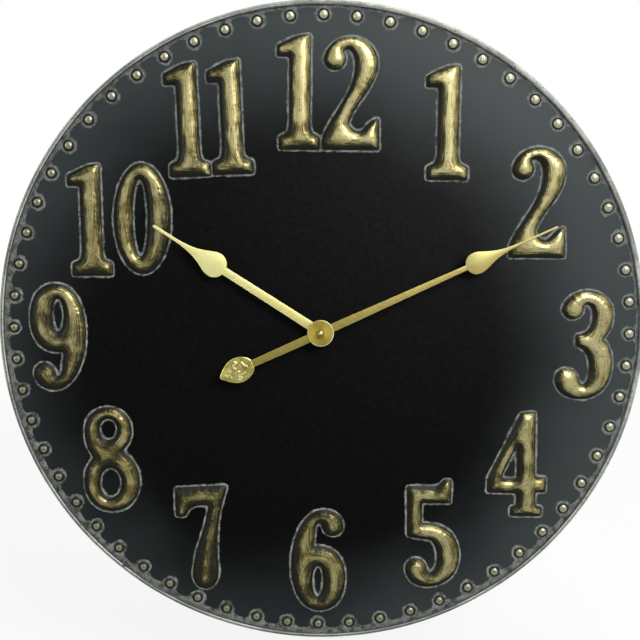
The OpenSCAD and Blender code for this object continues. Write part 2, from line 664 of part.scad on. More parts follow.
// Running train

module centre_wheel() color([0.9, 0.88, 0.8]) hung() difference() {
    gear(centre_wheel_y, wheel_t, [0, 0], centre_teeth, third_mod, centre_wheel_turn);
    bar([0, 0], centre_wheel_y - 1, centre_wheel_y + wheel_t + 1, clutch_r + fit_gap);
}

module third_wheel() color([0.88, 0.86, 0.78]) hung() {
    gear(third_wheel_y, wheel_t, third_at, third_teeth, second_mod, third_wheel_turn);
    gear(centre_wheel_y - 0.1, third_wheel_y - centre_wheel_y + 0.2, third_at, third_pinion, third_mod, 0);
    bar(third_at, centre_wheel_y - 1.6, plate_y + plate_t - 0.2, arbor_r);
}

module second_wheel() color([0.92, 0.9, 0.84]) hung() {
    gear(second_wheel_y, wheel_t, [0, 0], second_teeth, inter_mod, second_turn);
    gear(third_wheel_y - 0.1, second_wheel_y - third_wheel_y + 0.2, [0, 0], second_pinion, second_mod, 0);
    bar([0, 0], case_front_y + 0.5, plate_y + plate_t - 0.2, arbor_r);
}

module intermediate_wheel() color([0.9, 0.88, 0.8]) hung() {
    gear(inter_wheel_y, wheel_t, inter_at, inter_teeth, rotor_mod, inter_wheel_turn);
    gear(second_wheel_y - 0.1, inter_wheel_y - second_wheel_y + 0.2, inter_at, inter_pinion, inter_mod, 0);
    bar(inter_at, second_wheel_y - 1.6, plate_y + plate_t - 0.2, arbor_r);
}

magnet_r = room / 11;
magnet_t = 2.2;
stator_r = magnet_r + 2.9;
module rotor() color([0.3, 0.3, 0.33]) hung() {
    bar(rotor_at, magnet_y, magnet_y + magnet_t, magnet_r);
    gear(inter_wheel_y - 0.1, wheel_t + 0.2, rotor_at, rotor_teeth, rotor_mod, 0);
    bar(rotor_at, inter_wheel_y - 1.6, plate_y + plate_t - 0.2, arbor_r);
}

// Coil and circuit

module stator() color([0.6, 0.6, 0.58]) hung() difference() {
    plate(stator_y, core_t) union() {
        translate(rotor_at) circle(r = stator_r);
        shape([[coil_mid - core_half, coil_up + 3.5], [coil_mid - coil_len / 2 - 2, coil_up + 3.5],
            [coil_mid - coil_len / 2 - 2, coil_up - 7.5], rotor_at + [0, -4],
            rotor_at + [0.4 - stator_r, -2]]);
        shape([[coil_mid + coil_len / 2 + 2, coil_up + 3.5], [coil_mid + core_half, coil_up + 3.5],
            [coil_mid + core_half, coil_up - 9], rotor_at + [2, 0.3 - stator_r],
            rotor_at + [2, stator_r - 0.9], [coil_mid + coil_len / 2 + 2, coil_up - 6]]);
    }
    bar(rotor_at, stator_y - 1, stator_y + 3, magnet_r + 0.5);
    for (s = [-1, 1]) bar([coil_mid + s * screw_at, coil_up], stator_y - 1, stator_y + 3, 1.05);
}

module coil_core() color([0.58, 0.58, 0.6]) hung() difference() {
    plate(core_y, core_t) translate([coil_mid, coil_up]) square([2 * core_half, core_w], center = true);
    for (s = [-1, 1]) bar([coil_mid + s * screw_at, coil_up], core_y - 1, core_y + 3, 1.05);
}

core_case = [coil_len, core_t + 1.4, core_w + 1.4];
module coil_bobbin() color([0.92, 0.92, 0.9]) hung() translate([coil_mid, coil_y, coil_up]) difference() {
    union() {
        for (s = [-1, 1]) translate([s * (coil_len - flange_t) / 2, 0, 0])
            cube([flange_t, flange_s, flange_s], center = true);
        cube(core_case, center = true);
    }
    cube([2 * coil_len, core_t + 2 * fit_gap, core_w + 2 * fit_gap], center = true);
}

module coil_winding() color([0.72, 0.38, 0.2]) hung() translate([coil_mid, coil_y, coil_up]) difference() {
    rotate([0, 90, 0]) cylinder(h = coil_len - 2 * flange_t - 2 * fit_gap, r = coil_r, center = true);
    cube(core_case + 2 * fit_gap * [1, 1, 1], center = true);
}

module stator_screws() color([0.7, 0.7, 0.68]) hung() for (s = [-1, 1]) {
    bar([coil_mid + s * screw_at, coil_up], core_y - 4, stator_y + core_t + 0.2, 0.85);
    bar([coil_mid + s * screw_at, coil_up], stator_y + core_t, stator_y + core_t + 1, 1.7);
}

module circuit_board() color([0.12, 0.36, 0.2]) hung() plate(board_y, board_t)
    polygon([[board_left, rib_top + 0.5], [room - 1.1, rib_top + 0.5],
        [room - 1.1, coil_up - 9.5], [board_left, coil_up - 9.5]]);

blob_at = [room - 9.6, -3];
blob_h = 2.4 * layer;
module chip_blob() color([0.08, 0.08, 0.08]) hung() intersection() {
    translate([blob_at[0], board_y + board_t - 3.4, blob_at[1]]) sphere(r = blob_h + 3.4);
    bar(blob_at, board_y + board_t, board_y + board_t + 3, 4);
}

crystal_at = [room - 11.6, coil_up - 13];
crystal_len = 7;
module quartz_crystal() color([0.75, 0.76, 0.78]) hung()
    translate([crystal_at[0], board_y + board_t + 1.05, crystal_at[1]]) rotate([0, 90, 0])
        cylinder(h = crystal_len, r = 1);

// Battery and contacts

cell_half = (cell_len + tip_len) / 2;
tip_r = 2.75;
module battery_cell() color([0.2, 0.22, 0.26]) hung() translate([-cell_half, bay_y, bay_at])
    rotate([0, 90, 0]) {
        cylinder(h = cell_len, r = cell_d / 2);
        cylinder(h = cell_len + tip_len, r = tip_r);
    }

contact_t = 0.4;
contact_w = 9;
// Outline of a contact from the case's wall to the cell's end, on the side s
function contact(s, bent_at) = [for (p = [[room - 0.1, bay_y + 6], [room - 0.1, bay_y - 8],
    [room - 0.1 - contact_t, bay_y - 8], [room - 0.1 - contact_t, bent_at], [cell_half + 0.1, bay_y - 0.3],
    [cell_half + 0.1, bay_y + 0.7], [room - 0.1 - contact_t, bay_y + 6]]) [s * p[0], p[1]]];
module contact_plate(s, bent_at) translate([0, 0, bay_at - contact_w / 2]) linear_extrude(contact_w)
    polygon(contact(s, bent_at));

module positive_contact() color([0.75, 0.75, 0.72]) hung() contact_plate(1, bay_y + 2);

module negative_contact() color([0.75, 0.75, 0.72]) hung() contact_plate(-1, bay_y - 4);

dial_plate();
rim_band();
hanger_bracket();
hanger_rivets();
rubber_washer();
front_washer();
fixing_nut();
centre_bush();
hour_hand();
hour_hand_bush();
minute_hand();
minute_hand_bush();
tail_weight();
hub_disc();
cap_nut();
movement_case_front();
movement_case_back();
gear_plate();
hour_wheel();
motion_wheel();
minute_arbor();
setting_knob();
centre_wheel();
third_wheel();
second_wheel();
intermediate_wheel();
rotor();
stator();
coil_core();
coil_bobbin();
coil_winding();
stator_screws();
circuit_board();
chip_blob();
quartz_crystal();
battery_cell();
positive_contact();
negative_contact();
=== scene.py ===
# Looks of a wall clock with an embossed sheet metal dial, built round its fixed frame.
# Seen from the front, X is to the right and Z is up. The dial faces -Y.
import json
import math
import bmesh
import bpy
import numpy as np
from mathutils import Matrix, Vector, noise
from mathutils.geometry import delaunay_2d_cdt


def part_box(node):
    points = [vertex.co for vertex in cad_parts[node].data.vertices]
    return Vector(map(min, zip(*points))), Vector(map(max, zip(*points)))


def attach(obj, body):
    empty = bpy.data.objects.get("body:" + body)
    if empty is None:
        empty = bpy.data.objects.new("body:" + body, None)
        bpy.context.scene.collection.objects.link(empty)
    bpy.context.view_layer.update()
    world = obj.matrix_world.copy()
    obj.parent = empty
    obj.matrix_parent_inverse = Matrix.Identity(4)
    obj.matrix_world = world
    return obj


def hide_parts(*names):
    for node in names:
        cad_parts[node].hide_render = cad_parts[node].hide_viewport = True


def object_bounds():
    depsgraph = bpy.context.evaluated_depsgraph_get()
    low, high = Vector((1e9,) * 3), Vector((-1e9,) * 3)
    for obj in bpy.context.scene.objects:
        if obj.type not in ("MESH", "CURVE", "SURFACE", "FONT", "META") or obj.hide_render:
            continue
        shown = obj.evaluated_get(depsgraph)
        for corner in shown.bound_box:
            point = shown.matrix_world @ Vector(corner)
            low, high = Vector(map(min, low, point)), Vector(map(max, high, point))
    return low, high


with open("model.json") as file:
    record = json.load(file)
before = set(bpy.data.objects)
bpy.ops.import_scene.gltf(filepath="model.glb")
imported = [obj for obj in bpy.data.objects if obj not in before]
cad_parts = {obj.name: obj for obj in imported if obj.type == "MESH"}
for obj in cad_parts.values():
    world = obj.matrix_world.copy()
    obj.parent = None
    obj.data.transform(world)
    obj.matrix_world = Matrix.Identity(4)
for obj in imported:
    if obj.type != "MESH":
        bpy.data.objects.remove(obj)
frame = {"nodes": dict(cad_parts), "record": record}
cadLow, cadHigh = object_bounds()
nodes = frame["nodes"]
mm = 0.001
print("frame loaded:", len(nodes), "nodes")

# Places that the frame gives, in metres
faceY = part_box("front_washer")[1].y
hubLow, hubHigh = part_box("hub_disc")
centreX = (hubLow.x + hubHigh.x) / 2
centreZ = (hubLow.z + hubHigh.z) / 2


# Shader helpers

class Wire:
    # What a socket gives, for writing plain sums of sockets
    def __init__(self, socket):
        self.socket = socket
        self.tree = socket.id_data

    def __add__(self, other):
        return calculate("ADD", self, other)

    def __sub__(self, other):
        return calculate("SUBTRACT", self, other)

    def __rsub__(self, other):
        return calculate("SUBTRACT", other, self)

    def __mul__(self, other):
        return calculate("MULTIPLY", self, other)


def feed(socket, value):
    # Links a wire to a socket, or sets a plain value or colour
    if isinstance(value, Wire):
        socket.id_data.links.new(value.socket, socket)
    elif socket.type == "RGBA":
        socket.default_value = (*value, 1.0)
    else:
        socket.default_value = value


def addNode(tree, kind, inputs=None, output=0, **settings):
    # Adds a node and gives the wire of one of its outputs
    made = tree.nodes.new(kind)
    for name, value in settings.items():
        setattr(made, name, value)
    for key, value in (inputs or {}).items():
        feed(made.inputs[key], value)
    return Wire(made.outputs[output])


def allWires(wire):
    return [Wire(socket) for socket in wire.socket.node.outputs]


def calculate(operation, *values, clamp=False):
    tree = next(value.tree for value in values if isinstance(value, Wire))
    return addNode(tree, "ShaderNodeMath", dict(enumerate(values)), operation=operation, use_clamp=clamp)


def largest(first, *others):
    for other in others:
        first = calculate("MAXIMUM", first, other)
    return first


def distanceOf(x, z):
    return calculate("SQRT", x * x + z * z)


def band(value, low, high, top=1.0):
    # Smooth step of a value from 0 at low to top at high
    inputs = {"Value": value, "From Min": low, "From Max": high, "To Max": top}
    return addNode(value.tree, "ShaderNodeMapRange", inputs, "Result", interpolation_type="SMOOTHSTEP")


def stripe(value, middle, half, soft):
    # 1 where a value lies within half of the middle, with soft sides
    away = calculate("ABSOLUTE", value - middle)
    return 1.0 - band(away, half - soft / 2, half + soft / 2)


def mixColour(factor, a, b):
    made = addNode(factor.tree, "ShaderNodeMix", data_type="RGBA").socket.node
    for key, value in (("Factor", factor), ("A", a), ("B", b)):
        feed(next(socket for socket in made.inputs if socket.name == key and socket.enabled), value)
    return Wire(next(socket for socket in made.outputs if socket.enabled))


def grainOf(place, scale, detail, roughness=0.5):
    # Noise about 0.5
    inputs = {"Vector": place, "Scale": scale, "Detail": detail, "Roughness": roughness}
    return addNode(place.tree, "ShaderNodeTexNoise", inputs, "Fac")


def partsOf(vector):
    return allWires(addNode(vector.tree, "ShaderNodeSeparateXYZ", {0: vector}))


def vectorOf(x, y, z):
    return addNode(x.tree, "ShaderNodeCombineXYZ", {0: x, 1: y, 2: z})


def axisPlace(place):
    # Place across and up from the hands' axis, in mm
    x, _, z = partsOf(place)
    return (x - centreX) * 1000.0, (z - centreZ) * 1000.0


def attribute(tree, name):
    return addNode(tree, "ShaderNodeAttribute", output="Fac", attribute_name=name)


def newGroup(name, numbers, results):
    # A group for a place and some numbers: the wires that come in and the sockets of its results
    tree = bpy.data.node_groups.new(name, "ShaderNodeTree")
    tree.interface.new_socket("Vector", in_out="INPUT", socket_type="NodeSocketVector")
    for labels, way in ((numbers, "INPUT"), (results, "OUTPUT")):
        for label in labels:
            tree.interface.new_socket(label, in_out=way, socket_type="NodeSocketFloat")
    taken = tree.nodes.new("NodeGroupInput")
    given = tree.nodes.new("NodeGroupOutput")
    return [Wire(taken.outputs[label]) for label in ("Vector", *numbers)], given.inputs


def useGroup(group, place, *numbers):
    # The wires of a group's results, for its numbers in their order
    inputs = {0: place, **dict(enumerate(numbers, 1))}
    return allWires(addNode(place.tree, "ShaderNodeGroup", inputs, node_tree=group))


def makeUneven():
    # Slow patches and fine mottle, both about 0.5
    (place, patchScale, mottleScale), given = newGroup(
        "uneven", ["Patch Scale", "Mottle Scale"], ["Patches", "Mottle"])
    feed(given[0], grainOf(place, patchScale, 3.0, 0.55))
    feed(given[1], grainOf(place, mottleScale, 4.0, 0.65))
    return place.tree


def makeSpecks():
    # Small scattered specks, 1 inside a speck
    (place, scale, share), given = newGroup("specks", ["Scale", "Share"], ["Mask"])
    over = grainOf(place, scale, 2.0, 0.7) - (0.78 - share)
    feed(given[0], calculate("MULTIPLY", over, 14.0, clamp=True))
    return place.tree


def makeBrushed():
    # Fine strokes along one direction of the dial's plane, turned by Turn about Y
    (place, turn, scale, stretch), given = newGroup("brushed", ["Turn", "Scale", "Stretch"], ["Strokes"])
    inputs = {"Vector": place, "Angle": turn}
    x, y, z = partsOf(addNode(place.tree, "ShaderNodeVectorRotate", inputs, rotation_type="Y_AXIS"))
    feed(given[0], grainOf(vectorOf(x, y, z * stretch), scale, 3.0, 0.6))
    return place.tree


uneven = makeUneven()
specks = makeSpecks()
brushed = makeBrushed()


def newMaterial(name, **sockets):
    # A material and the wire of the object's own place
    material = bpy.data.materials.new(name)
    material.use_nodes = True
    setSockets(material, **sockets)
    return material, addNode(material.node_tree, "ShaderNodeTexCoord", output="Object")


def setSockets(material, **sockets):
    shader = material.node_tree.nodes["Principled BSDF"]
    for key, value in sockets.items():
        feed(shader.inputs[key.replace("_", " ")], value)


def setSurface(material, colour, roughness, height, distance, strength, **sockets):
    # Colour, gloss, a bump whose distance is in metres, and what else is given
    bump = {"Strength": strength, "Distance": distance, "Height": height}
    normal = addNode(material.node_tree, "ShaderNodeBump", bump)
    setSockets(material, Base_Color=colour, Roughness=roughness, Normal=normal, **sockets)
    return material


# Finishes: the dial

dialLook = {
    "uneven": (9.0, 210.0),  # scales of patches and mottle
    "black": (0.001, 0.0013, 0.001),  # paint in the middle of the dial
    "edgeSheenBlack": (0.031, 0.037, 0.038),  # paint towards the rim, partly a painted sheen
    "edgeFrom": (205.0, 350.0),  # where it changes, in mm from the middle
    "sheenPull": (0.13, 0.1),  # how much sooner to the right and up, a painted sheen where the light falls
    "dust": (420.0, 0.06),  # scale and share of specks on the black
    "grey": (0.17, 0.185, 0.18),  # outlines round the numerals and studs
    "lowerGrey": (0.25, 0.265, 0.235),  # the same to the lower left
    "lowerFrom": (120.0, -160.0),  # heights between which it turns into that
    "greyShare": 0.8,  # its cover round the studs and along the rim
    "chalk": (150.0, 6.0, 0.8),  # scale, detail and roughness of the gaps in the grey
    "chalkCover": (0.33, 0.66),  # noise between which the grey covers
    "ragged": (330.0, 3.0),  # scale and detail of what frays an edge
    "slack": (70.0, 2.0),  # and of what bends it
    "streaks": (1.5, 75.0),  # scales of the streaks across an outline and along it
    "outlineFar": (0.8, 1.6),  # outer side of an outline, in mm from the foot
    "haloFar": (7.0, 8.2),  # where a stud's outline ends, in mm from its middle
    "haloNear": (5.1, 5.7),  # and where it begins
    "lowerHalo": 1.9,  # how much nearer it begins to the lower left
    "margin": (292.8, 294.2),  # where the grey along the rim begins
    "marginPull": (13.0, 6.0, 2.6),  # gaps to a stud between which it begins nearer, and by how much
    "gold": (0.33, 0.275, 0.1),  # rubbed crest
    "paleGold": (0.57, 0.51, 0.26),  # top of a crest, paler where worn or painted lit
    "brown": (0.13, 0.085, 0.035),  # stains that run along a stroke
    "olive": (0.075, 0.07, 0.024),  # thin gold over black, beside a crest
    "thin": (46.0, 7.0, 0.75),  # the same of thin spots in the gold
    "thinFrom": (0.56, 0.7),  # noise between which it thins
    "stain": (260.0, 0.06),  # scale and share of dark specks in the gold
    "flank": (0.012, 0.011, 0.006),  # stained side of a numeral
    "studFoot": (5.0, 5.7),  # where a stud's dark foot ends, in mm from its middle
    "crown": (2.5, 3.9),  # and where its crown ends
    "litStudGold": (0.46, 0.45, 0.31),  # crown of a stud, painted lit, above
    "shadedStudGold": (0.28, 0.275, 0.18),  # and painted in shade, below
    "goldFrom": (0.385, 0.635),  # shares of the way to the crest between which it starts
    "goldFull": (0.485, 0.9),  # and between which it thickens
    "paleFrom": (0.2, 0.85),  # wear and painted light between which it pales
    "brownFrom": (0.38, 0.0),  # and between which it browns
    "goldLitPull": (0.0005, 0.00042),  # how much fuller the gold gets per mm to the right and up, a painted light
    # Spots where the gold is fuller: place and reach in mm, and how much
    "rubbed": [(233, -6, 60, 0.16), (122, -206, 55, 0.17), (-236, -4, 55, 0.14), (0, 238, 60, 0.06)],
    "litSlopeGold": (0.42, 0.24),  # painted light: slopes facing right and up, towards the light, get more gold
    "roughness": 0.38,
    "goldRoughness": 0.3,
    "goldMetal": 0.6,
    "bump": (0.00012, 0.7),  # depth in metres and strength
}


def makeDialPaint():
    look = dialLook
    material, place = newMaterial("dialPaint", Specular_IOR_Level=0.22)
    patches, mottle = useGroup(uneven, place, *look["uneven"])
    ragged = grainOf(place, *look["ragged"]) - 0.5
    slack = grainOf(place, *look["slack"]) - 0.5
    inside, hug, crest, studGap, radius = [
        attribute(place.tree, name) for name in ("inside", "hug", "crest", "studGap", "radius")]
    x, z = axisPlace(place)

    # Black paint, greyer towards the rim and sooner to the right and up: partly painted sheen
    outer = patches * 60.0 + radius + x * look["sheenPull"][0] + z * look["sheenPull"][1]
    black = mixColour(band(outer, *look["edgeFrom"]), look["black"], look["edgeSheenBlack"])
    [dust] = useGroup(specks, place, *look["dust"])
    black = mixColour(dust * 0.05, black, look["grey"])

    # Grey outlines along each numeral's foot, round each stud and along the rim
    wander = slack * 2.2 + ragged * 1.5
    line = 1.0 - band(hug + wander, *look["outlineFar"])
    line = line * band(inside, 0.25, -0.15)
    lower = band(x * 0.5 + z, *look["lowerFrom"], look["lowerHalo"])
    haloIn = band(lower + studGap + ragged, *look["haloNear"])
    halo = (1.0 - band(wander * 1.9 + studGap, *look["haloFar"])) * haloIn
    pull = band(studGap, *look["marginPull"])
    margin = band(lower + wander * 1.5 + radius + pull, *look["margin"]) * haloIn
    grey = largest(line, halo * look["greyShare"], margin * look["greyShare"])
    grey = grey * band(grainOf(place, *look["chalk"]), *look["chalkCover"])
    colour = mixColour(grey, black, mixColour(lower * 0.5, look["grey"], look["lowerGrey"]))

    # Streaks about 0 that run along a numeral's outline
    across, along = look["streaks"]
    placeX, _, placeZ = partsOf(place)
    streaked = vectorOf(inside * across, placeX * along, placeZ * along)
    strokes = grainOf(streaked, 1.0, 4.0, 0.6) - 0.5

    # Stained flanks and gilded crests
    onNumeral = band(inside, -0.1, 0.6)
    colour = mixColour(onNumeral, colour, look["flank"])
    # Gold fuller to the right and up is painted light; the rubbed spots are fuller paint
    fuller = x * look["goldLitPull"][0] + z * look["goldLitPull"][1]
    for spotX, spotZ, reach, amount in look["rubbed"]:
        fuller = fuller + band(distanceOf(x - spotX, z - spotZ), reach, reach * 0.4, amount)
    # Painted light: gold reaches further on slopes that face the light
    normalX, _, normalZ = partsOf(addNode(place.tree, "ShaderNodeNewGeometry", output="Normal"))
    litSlope = normalX * look["litSlopeGold"][0] + normalZ * look["litSlopeGold"][1]
    rub = crest + strokes + slack * 0.55 + ragged * 0.25 + litSlope + fuller + (patches - 0.5) * 0.7
    gild = band(rub, *look["goldFrom"]) * onNumeral
    # Paler and less brown gold where worn, and where painted lit to the right and up
    wornAndLit = crest * 0.6 + strokes * 1.9 + slack * 0.9 + fuller
    gold = mixColour(band(wornAndLit, *look["paleFrom"]), look["gold"], look["paleGold"])
    gold = mixColour(band(wornAndLit, *look["brownFrom"]), gold, look["brown"])
    thin = band(grainOf(place, *look["thin"]) + strokes * -0.5, *look["thinFrom"])
    gold = mixColour(thin * 0.6, gold, look["olive"])
    gold = mixColour(band(rub, *look["goldFull"]), look["olive"], gold)
    [stain] = useGroup(specks, place, *look["stain"])
    gold = mixColour(stain * 0.8, gold, look["flank"])
    colour = mixColour(gild, colour, gold)

    # Studs: a dark foot and a gilded crown with a dark dimple
    studEdge = studGap + ragged * 1.2
    colour = mixColour(1.0 - band(studEdge, *look["studFoot"]), colour, look["flank"])
    # Painted light: crowns are larger and paler to the right and up, duller below
    crown = 1.0 - band(fuller * -2.2 + studEdge, *look["crown"])
    crown = crown * (band(studGap + ragged * 0.8, 0.1, 1.1, 0.55) + 0.45)
    studLightTone = mixColour(band(fuller, -0.16, 0.16), look["shadedStudGold"], look["litStudGold"])
    colour = mixColour(crown, colour, studLightTone)

    metal = largest(gild, crown)
    rough = (mottle - 0.5) * 0.22 + look["roughness"] + grey * 0.2
    rough = metal * (look["goldRoughness"] - look["roughness"]) + rough
    skin = mottle + stain * -0.3 + strokes * onNumeral * 2.0 + grey * 0.5
    return setSurface(material, colour, rough, skin, *look["bump"], Metallic=metal * look["goldMetal"])


def makeBackPaint():
    # Black paint with worn specks, for the dial's wall side
    material, place = newMaterial("dialBackPaint", Specular_IOR_Level=0.4)
    patches, mottle = useGroup(uneven, place, 14.0, 240.0)
    [wornSpecks] = useGroup(specks, place, 300.0, 0.1)
    colour = mixColour(band(patches, 0.2, 0.85), (0.018, 0.019, 0.019), (0.036, 0.038, 0.038))
    colour = mixColour(wornSpecks * 0.4, colour, (0.2, 0.2, 0.19))
    return setSurface(material, colour, mottle * 0.3 + 0.4, mottle, 0.0001, 0.6)


# Outlines taken from the frame's flat faces, in mm from the dial's middle

def placed(spot, y):
    # A spot in mm as a place in metres, at a depth in metres
    return spot[0] * mm + centreX, y, spot[1] * mm + centreZ


def spotOf(place):
    return (place.x - centreX) / mm, (place.z - centreZ) / mm


def frontLevels(name):
    # Depths of a node's flat faces that look to the front, the nearest first
    mesh = nodes[name].data
    flat = [p for p in mesh.polygons if p.normal.y < -0.999]
    return sorted({round(mesh.vertices[p.vertices[0]].co.y, 6) for p in flat})


def flatLoops(name, y):
    # Closed outlines of a node's flat faces that look to the front at a depth
    bm = bmesh.new()
    bm.from_mesh(nodes[name].data)
    bmesh.ops.remove_doubles(bm, verts=bm.verts, dist=1e-6)
    flat = {f for f in bm.faces if f.normal.y < -0.99 and all(abs(v.co.y - y) < 3e-5 for v in f.verts)}
    bm.verts.ensure_lookup_table()
    bm.verts.index_update()
    follows = {}
    for face in flat:
        for corner in face.loops:
            if sum(1 for other in corner.edge.link_faces if other in flat) == 1:
                follows[corner.vert.index] = corner.link_loop_next.vert.index
    loops = []
    while follows:
        at = min(follows)
        loop = []
        while at in follows:
            loop.append(spotOf(bm.verts[at].co))
            at = follows.pop(at)
        loops.append(np.array(loop))
    bm.free()
    return loops


def lengthOf(vectors):
    return np.hypot(vectors[..., 0], vectors[..., 1])


def area(loop):
    other = np.roll(loop, -1, 0)
    return (loop[:, 0] * other[:, 1] - other[:, 0] * loop[:, 1]).sum() / 2


def normalsOf(loop):
    # Unit normals at a loop's points
    tangent = np.roll(loop, -1, 0) - np.roll(loop, 1, 0)
    return np.stack([-tangent[:, 1], tangent[:, 0]], 1) / lengthOf(tangent)[:, None]


def roundedLoop(points, step, softCut=2.5, cornerCut=1.0, cornerTurn=0.62):
    # Cuts corners off a loop, less at sharp ones, and spaces its points evenly
    back = points - np.roll(points, 1, 0)
    ahead = np.roll(points, -1, 0) - points
    cross = back[:, 0] * ahead[:, 1] - back[:, 1] * ahead[:, 0]
    turn = np.abs(np.arctan2(cross, (back * ahead).sum(1)))
    limit = np.where(turn > cornerTurn, cornerCut, softCut)
    for _ in range(4):
        cuts = []
        for towards in (1, -1):
            leg = np.roll(points, towards, 0) - points
            length = lengthOf(leg)
            cuts.append(points + leg * (np.minimum(length * 0.25, limit) / length)[:, None])
        points = np.stack(cuts, 1).reshape(-1, 2)
        limit = np.repeat(limit, 2) / 2
    closed = np.vstack([points, points[:1]])
    gone = np.concatenate([[0], np.cumsum(lengthOf(np.diff(closed, axis=0)))])
    count = max(12, int(round(gone[-1] / step)))
    at = np.arange(count) * gone[-1] / count
    return np.stack([np.interp(at, gone, closed[:, k]) for k in (0, 1)], 1)


def fieldOf(points, loops):
    # Distance in mm to the loops, positive inside, and a soft one, less in inner corners
    atOnce = 4000  # points worked out together, to save memory
    softScale = 3.46  # makes both distances about the same 1 mm from a straight outline
    starts = np.vstack(loops)
    edge = np.vstack([np.roll(loop, -1, 0) for loop in loops]) - starts
    endZ = starts[:, 1] + edge[:, 1]
    square = (edge ** 2).sum(1)
    length = np.sqrt(square)
    nearest, soft, within = np.empty((3, len(points)))
    for first in range(0, len(points), atOnce):
        part = slice(first, first + atOnce)
        p = points[part, None, :]
        along = np.clip(((p - starts) * edge).sum(2) / square, 0, 1)
        gap = lengthOf(p - starts - along[..., None] * edge)
        nearest[part] = gap.min(1)
        soft[part] = -np.log((np.exp(-gap) * length).sum(1) / softScale + 1e-9)
        above = (starts[:, 1] > p[..., 1]) != (endZ > p[..., 1])
        rise = np.where(edge[:, 1] == 0, 1e-12, edge[:, 1])
        crossX = starts[:, 0] + (p[..., 1] - starts[:, 1]) * edge[:, 0] / rise
        within[part] = (above & (p[..., 0] < crossX)).sum(1) % 2 == 1
    return np.where(within, nearest, -nearest), soft


def inBox(spots, loop, margin=0):
    # Which spots lie in the upright box round a loop
    return ((spots > loop.min(0) - margin) & (spots < loop.max(0) + margin)).all(1)


def thinned(points, gap, kept):
    # Leaves out points that lie nearer than gap to a kept one or to one chosen before
    cells = {}
    chosen = []
    for p in list(kept) + list(points):
        key = (math.floor(p[0] / gap), math.floor(p[1] / gap))
        near = any((p[0] - q[0]) ** 2 + (p[1] - q[1]) ** 2 < gap * gap
                   for i in (-1, 0, 1) for j in (-1, 0, 1) for q in cells.get((key[0] + i, key[1] + j), ()))
        if not near or len(chosen) < len(kept):
            cells.setdefault(key, []).append(p)
            chosen.append(p)
    return chosen[len(kept):]


def hexGrid(low, high, step):
    rows = np.arange(low[1], high[1], step * 0.866)
    columns = np.arange(low[0], high[0], step)
    return np.array([(x + (step / 2 if i % 2 else 0), z) for i, z in enumerate(rows) for x in columns])


def circle(radius, count, middle=(0.0, 0.0), turn=0.0):
    a = turn + np.arange(count) * 2 * math.pi / count
    return np.stack([middle[0] + radius * np.cos(a), middle[1] + radius * np.sin(a)], 1)


def around(count, first=0):
    # Each place on a closed ring together with the next
    return [(first + i, first + (i + 1) % count) for i in range(count)]


def triangulated(points, edges, closeness):
    spots, _, faces = delaunay_2d_cdt([Vector(p) for p in points], edges, [], 0, closeness)[:3]
    return np.array([(v.x, v.y) for v in spots]), np.array([f for f in faces if len(f) == 3])


# Meshes and pieces

def meshOf(bm, name, material):
    bmesh.ops.recalc_face_normals(bm, faces=bm.faces)
    mesh = bpy.data.meshes.new(name)
    bm.to_mesh(mesh)
    bm.free()
    mesh.materials.append(material)
    return mesh


def joinRings(bm, rings):
    # Strips of faces from each ring of points to the next
    for low, high in zip(rings, rings[1:]):
        for i, j in around(len(high)):
            bm.faces.new((low[i], low[j], high[j], high[i]))


def setOnPoints(mesh, name, values, rest):
    # Gives values to the first points, and rest to the others
    filled = np.full(len(mesh.vertices), rest, np.float32)
    filled[:len(values)] = values
    mesh.attributes.new(name, "FLOAT", "POINT").data.foreach_set("value", filled)


def newObject(name, data):
    made = bpy.data.objects.new(name, data)
    bpy.context.scene.collection.objects.link(made)
    return made


def finishPiece(mesh, node, body, sharpAngle):
    # Drops loose points, smooths up to an angle, and lets the piece stand for its node
    mesh.validate()
    mesh.update()
    bm = bmesh.new()
    bm.from_mesh(mesh)
    loose = [v for v in bm.verts if not v.link_faces]
    bmesh.ops.delete(bm, geom=loose, context="VERTS")
    bm.to_mesh(mesh)
    bm.free()
    mesh.polygons.foreach_set("use_smooth", np.ones(len(mesh.polygons), bool))
    mesh.set_sharp_from_angle(angle=math.radians(sharpAngle))
    piece = newObject(mesh.name, mesh)
    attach(piece, body)
    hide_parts(node)


# The embossed dial

dialShape = {
    "sheet": 0.8,  # thickness, in mm
    "step": 1.5,  # gap between points along an outline
    # Further lines of points, inwards from a foot and outwards
    "offsets": (0.75, 1.6, 2.6, 3.8, 5.2, 6.8, -0.7, -1.6, -3.0),
    "rise": 5.5,  # height of a wide numeral's crest
    "slopeWidth": 9.5,  # distance from the foot to a full crest
    "filletRise": 0.22,  # height of a numeral's foot over the flat
    "filletWidth": 1.4,
    "strokeReach": 7.0,  # how far round a point its stroke is sought
    "studRise": 3.0,
    "studFoot": 5.5,
    "dimple": (0.45, 0.75),  # depth and width of the mark in a stud's crown
    # Rings of points round a stud: radius and count
    "studRings": ((0.6, 8), (1.2, 12), (2.1, 18), (3.1, 22), (4.1, 26), (4.9, 30), (5.5, 32), (6.3, 26),
                  (7.8, 20)),
    "flatStep": 9.0,  # gap between points on the flat
    "flatGap": (10, 6),  # room round a stud and a numeral
    "edgeDepth": 8.0,  # depth of the turned edge
    "waves": 0.12,  # how far the flat sheet wanders
}


def crestHeight(distance):
    t = np.clip(distance / dialShape["slopeWidth"], 0, 1)
    return dialShape["rise"] * (1 - (1 - t) ** 2.2) ** 0.75


def studHeight(gap):
    t = np.clip(gap / dialShape["studFoot"], 0, 1)
    depth, width = dialShape["dimple"]
    dome = dialShape["studRise"] * np.clip(1 - t ** 1.7, 0, 1) ** 0.85
    return dome - depth * np.exp(-(gap / width) ** 2)


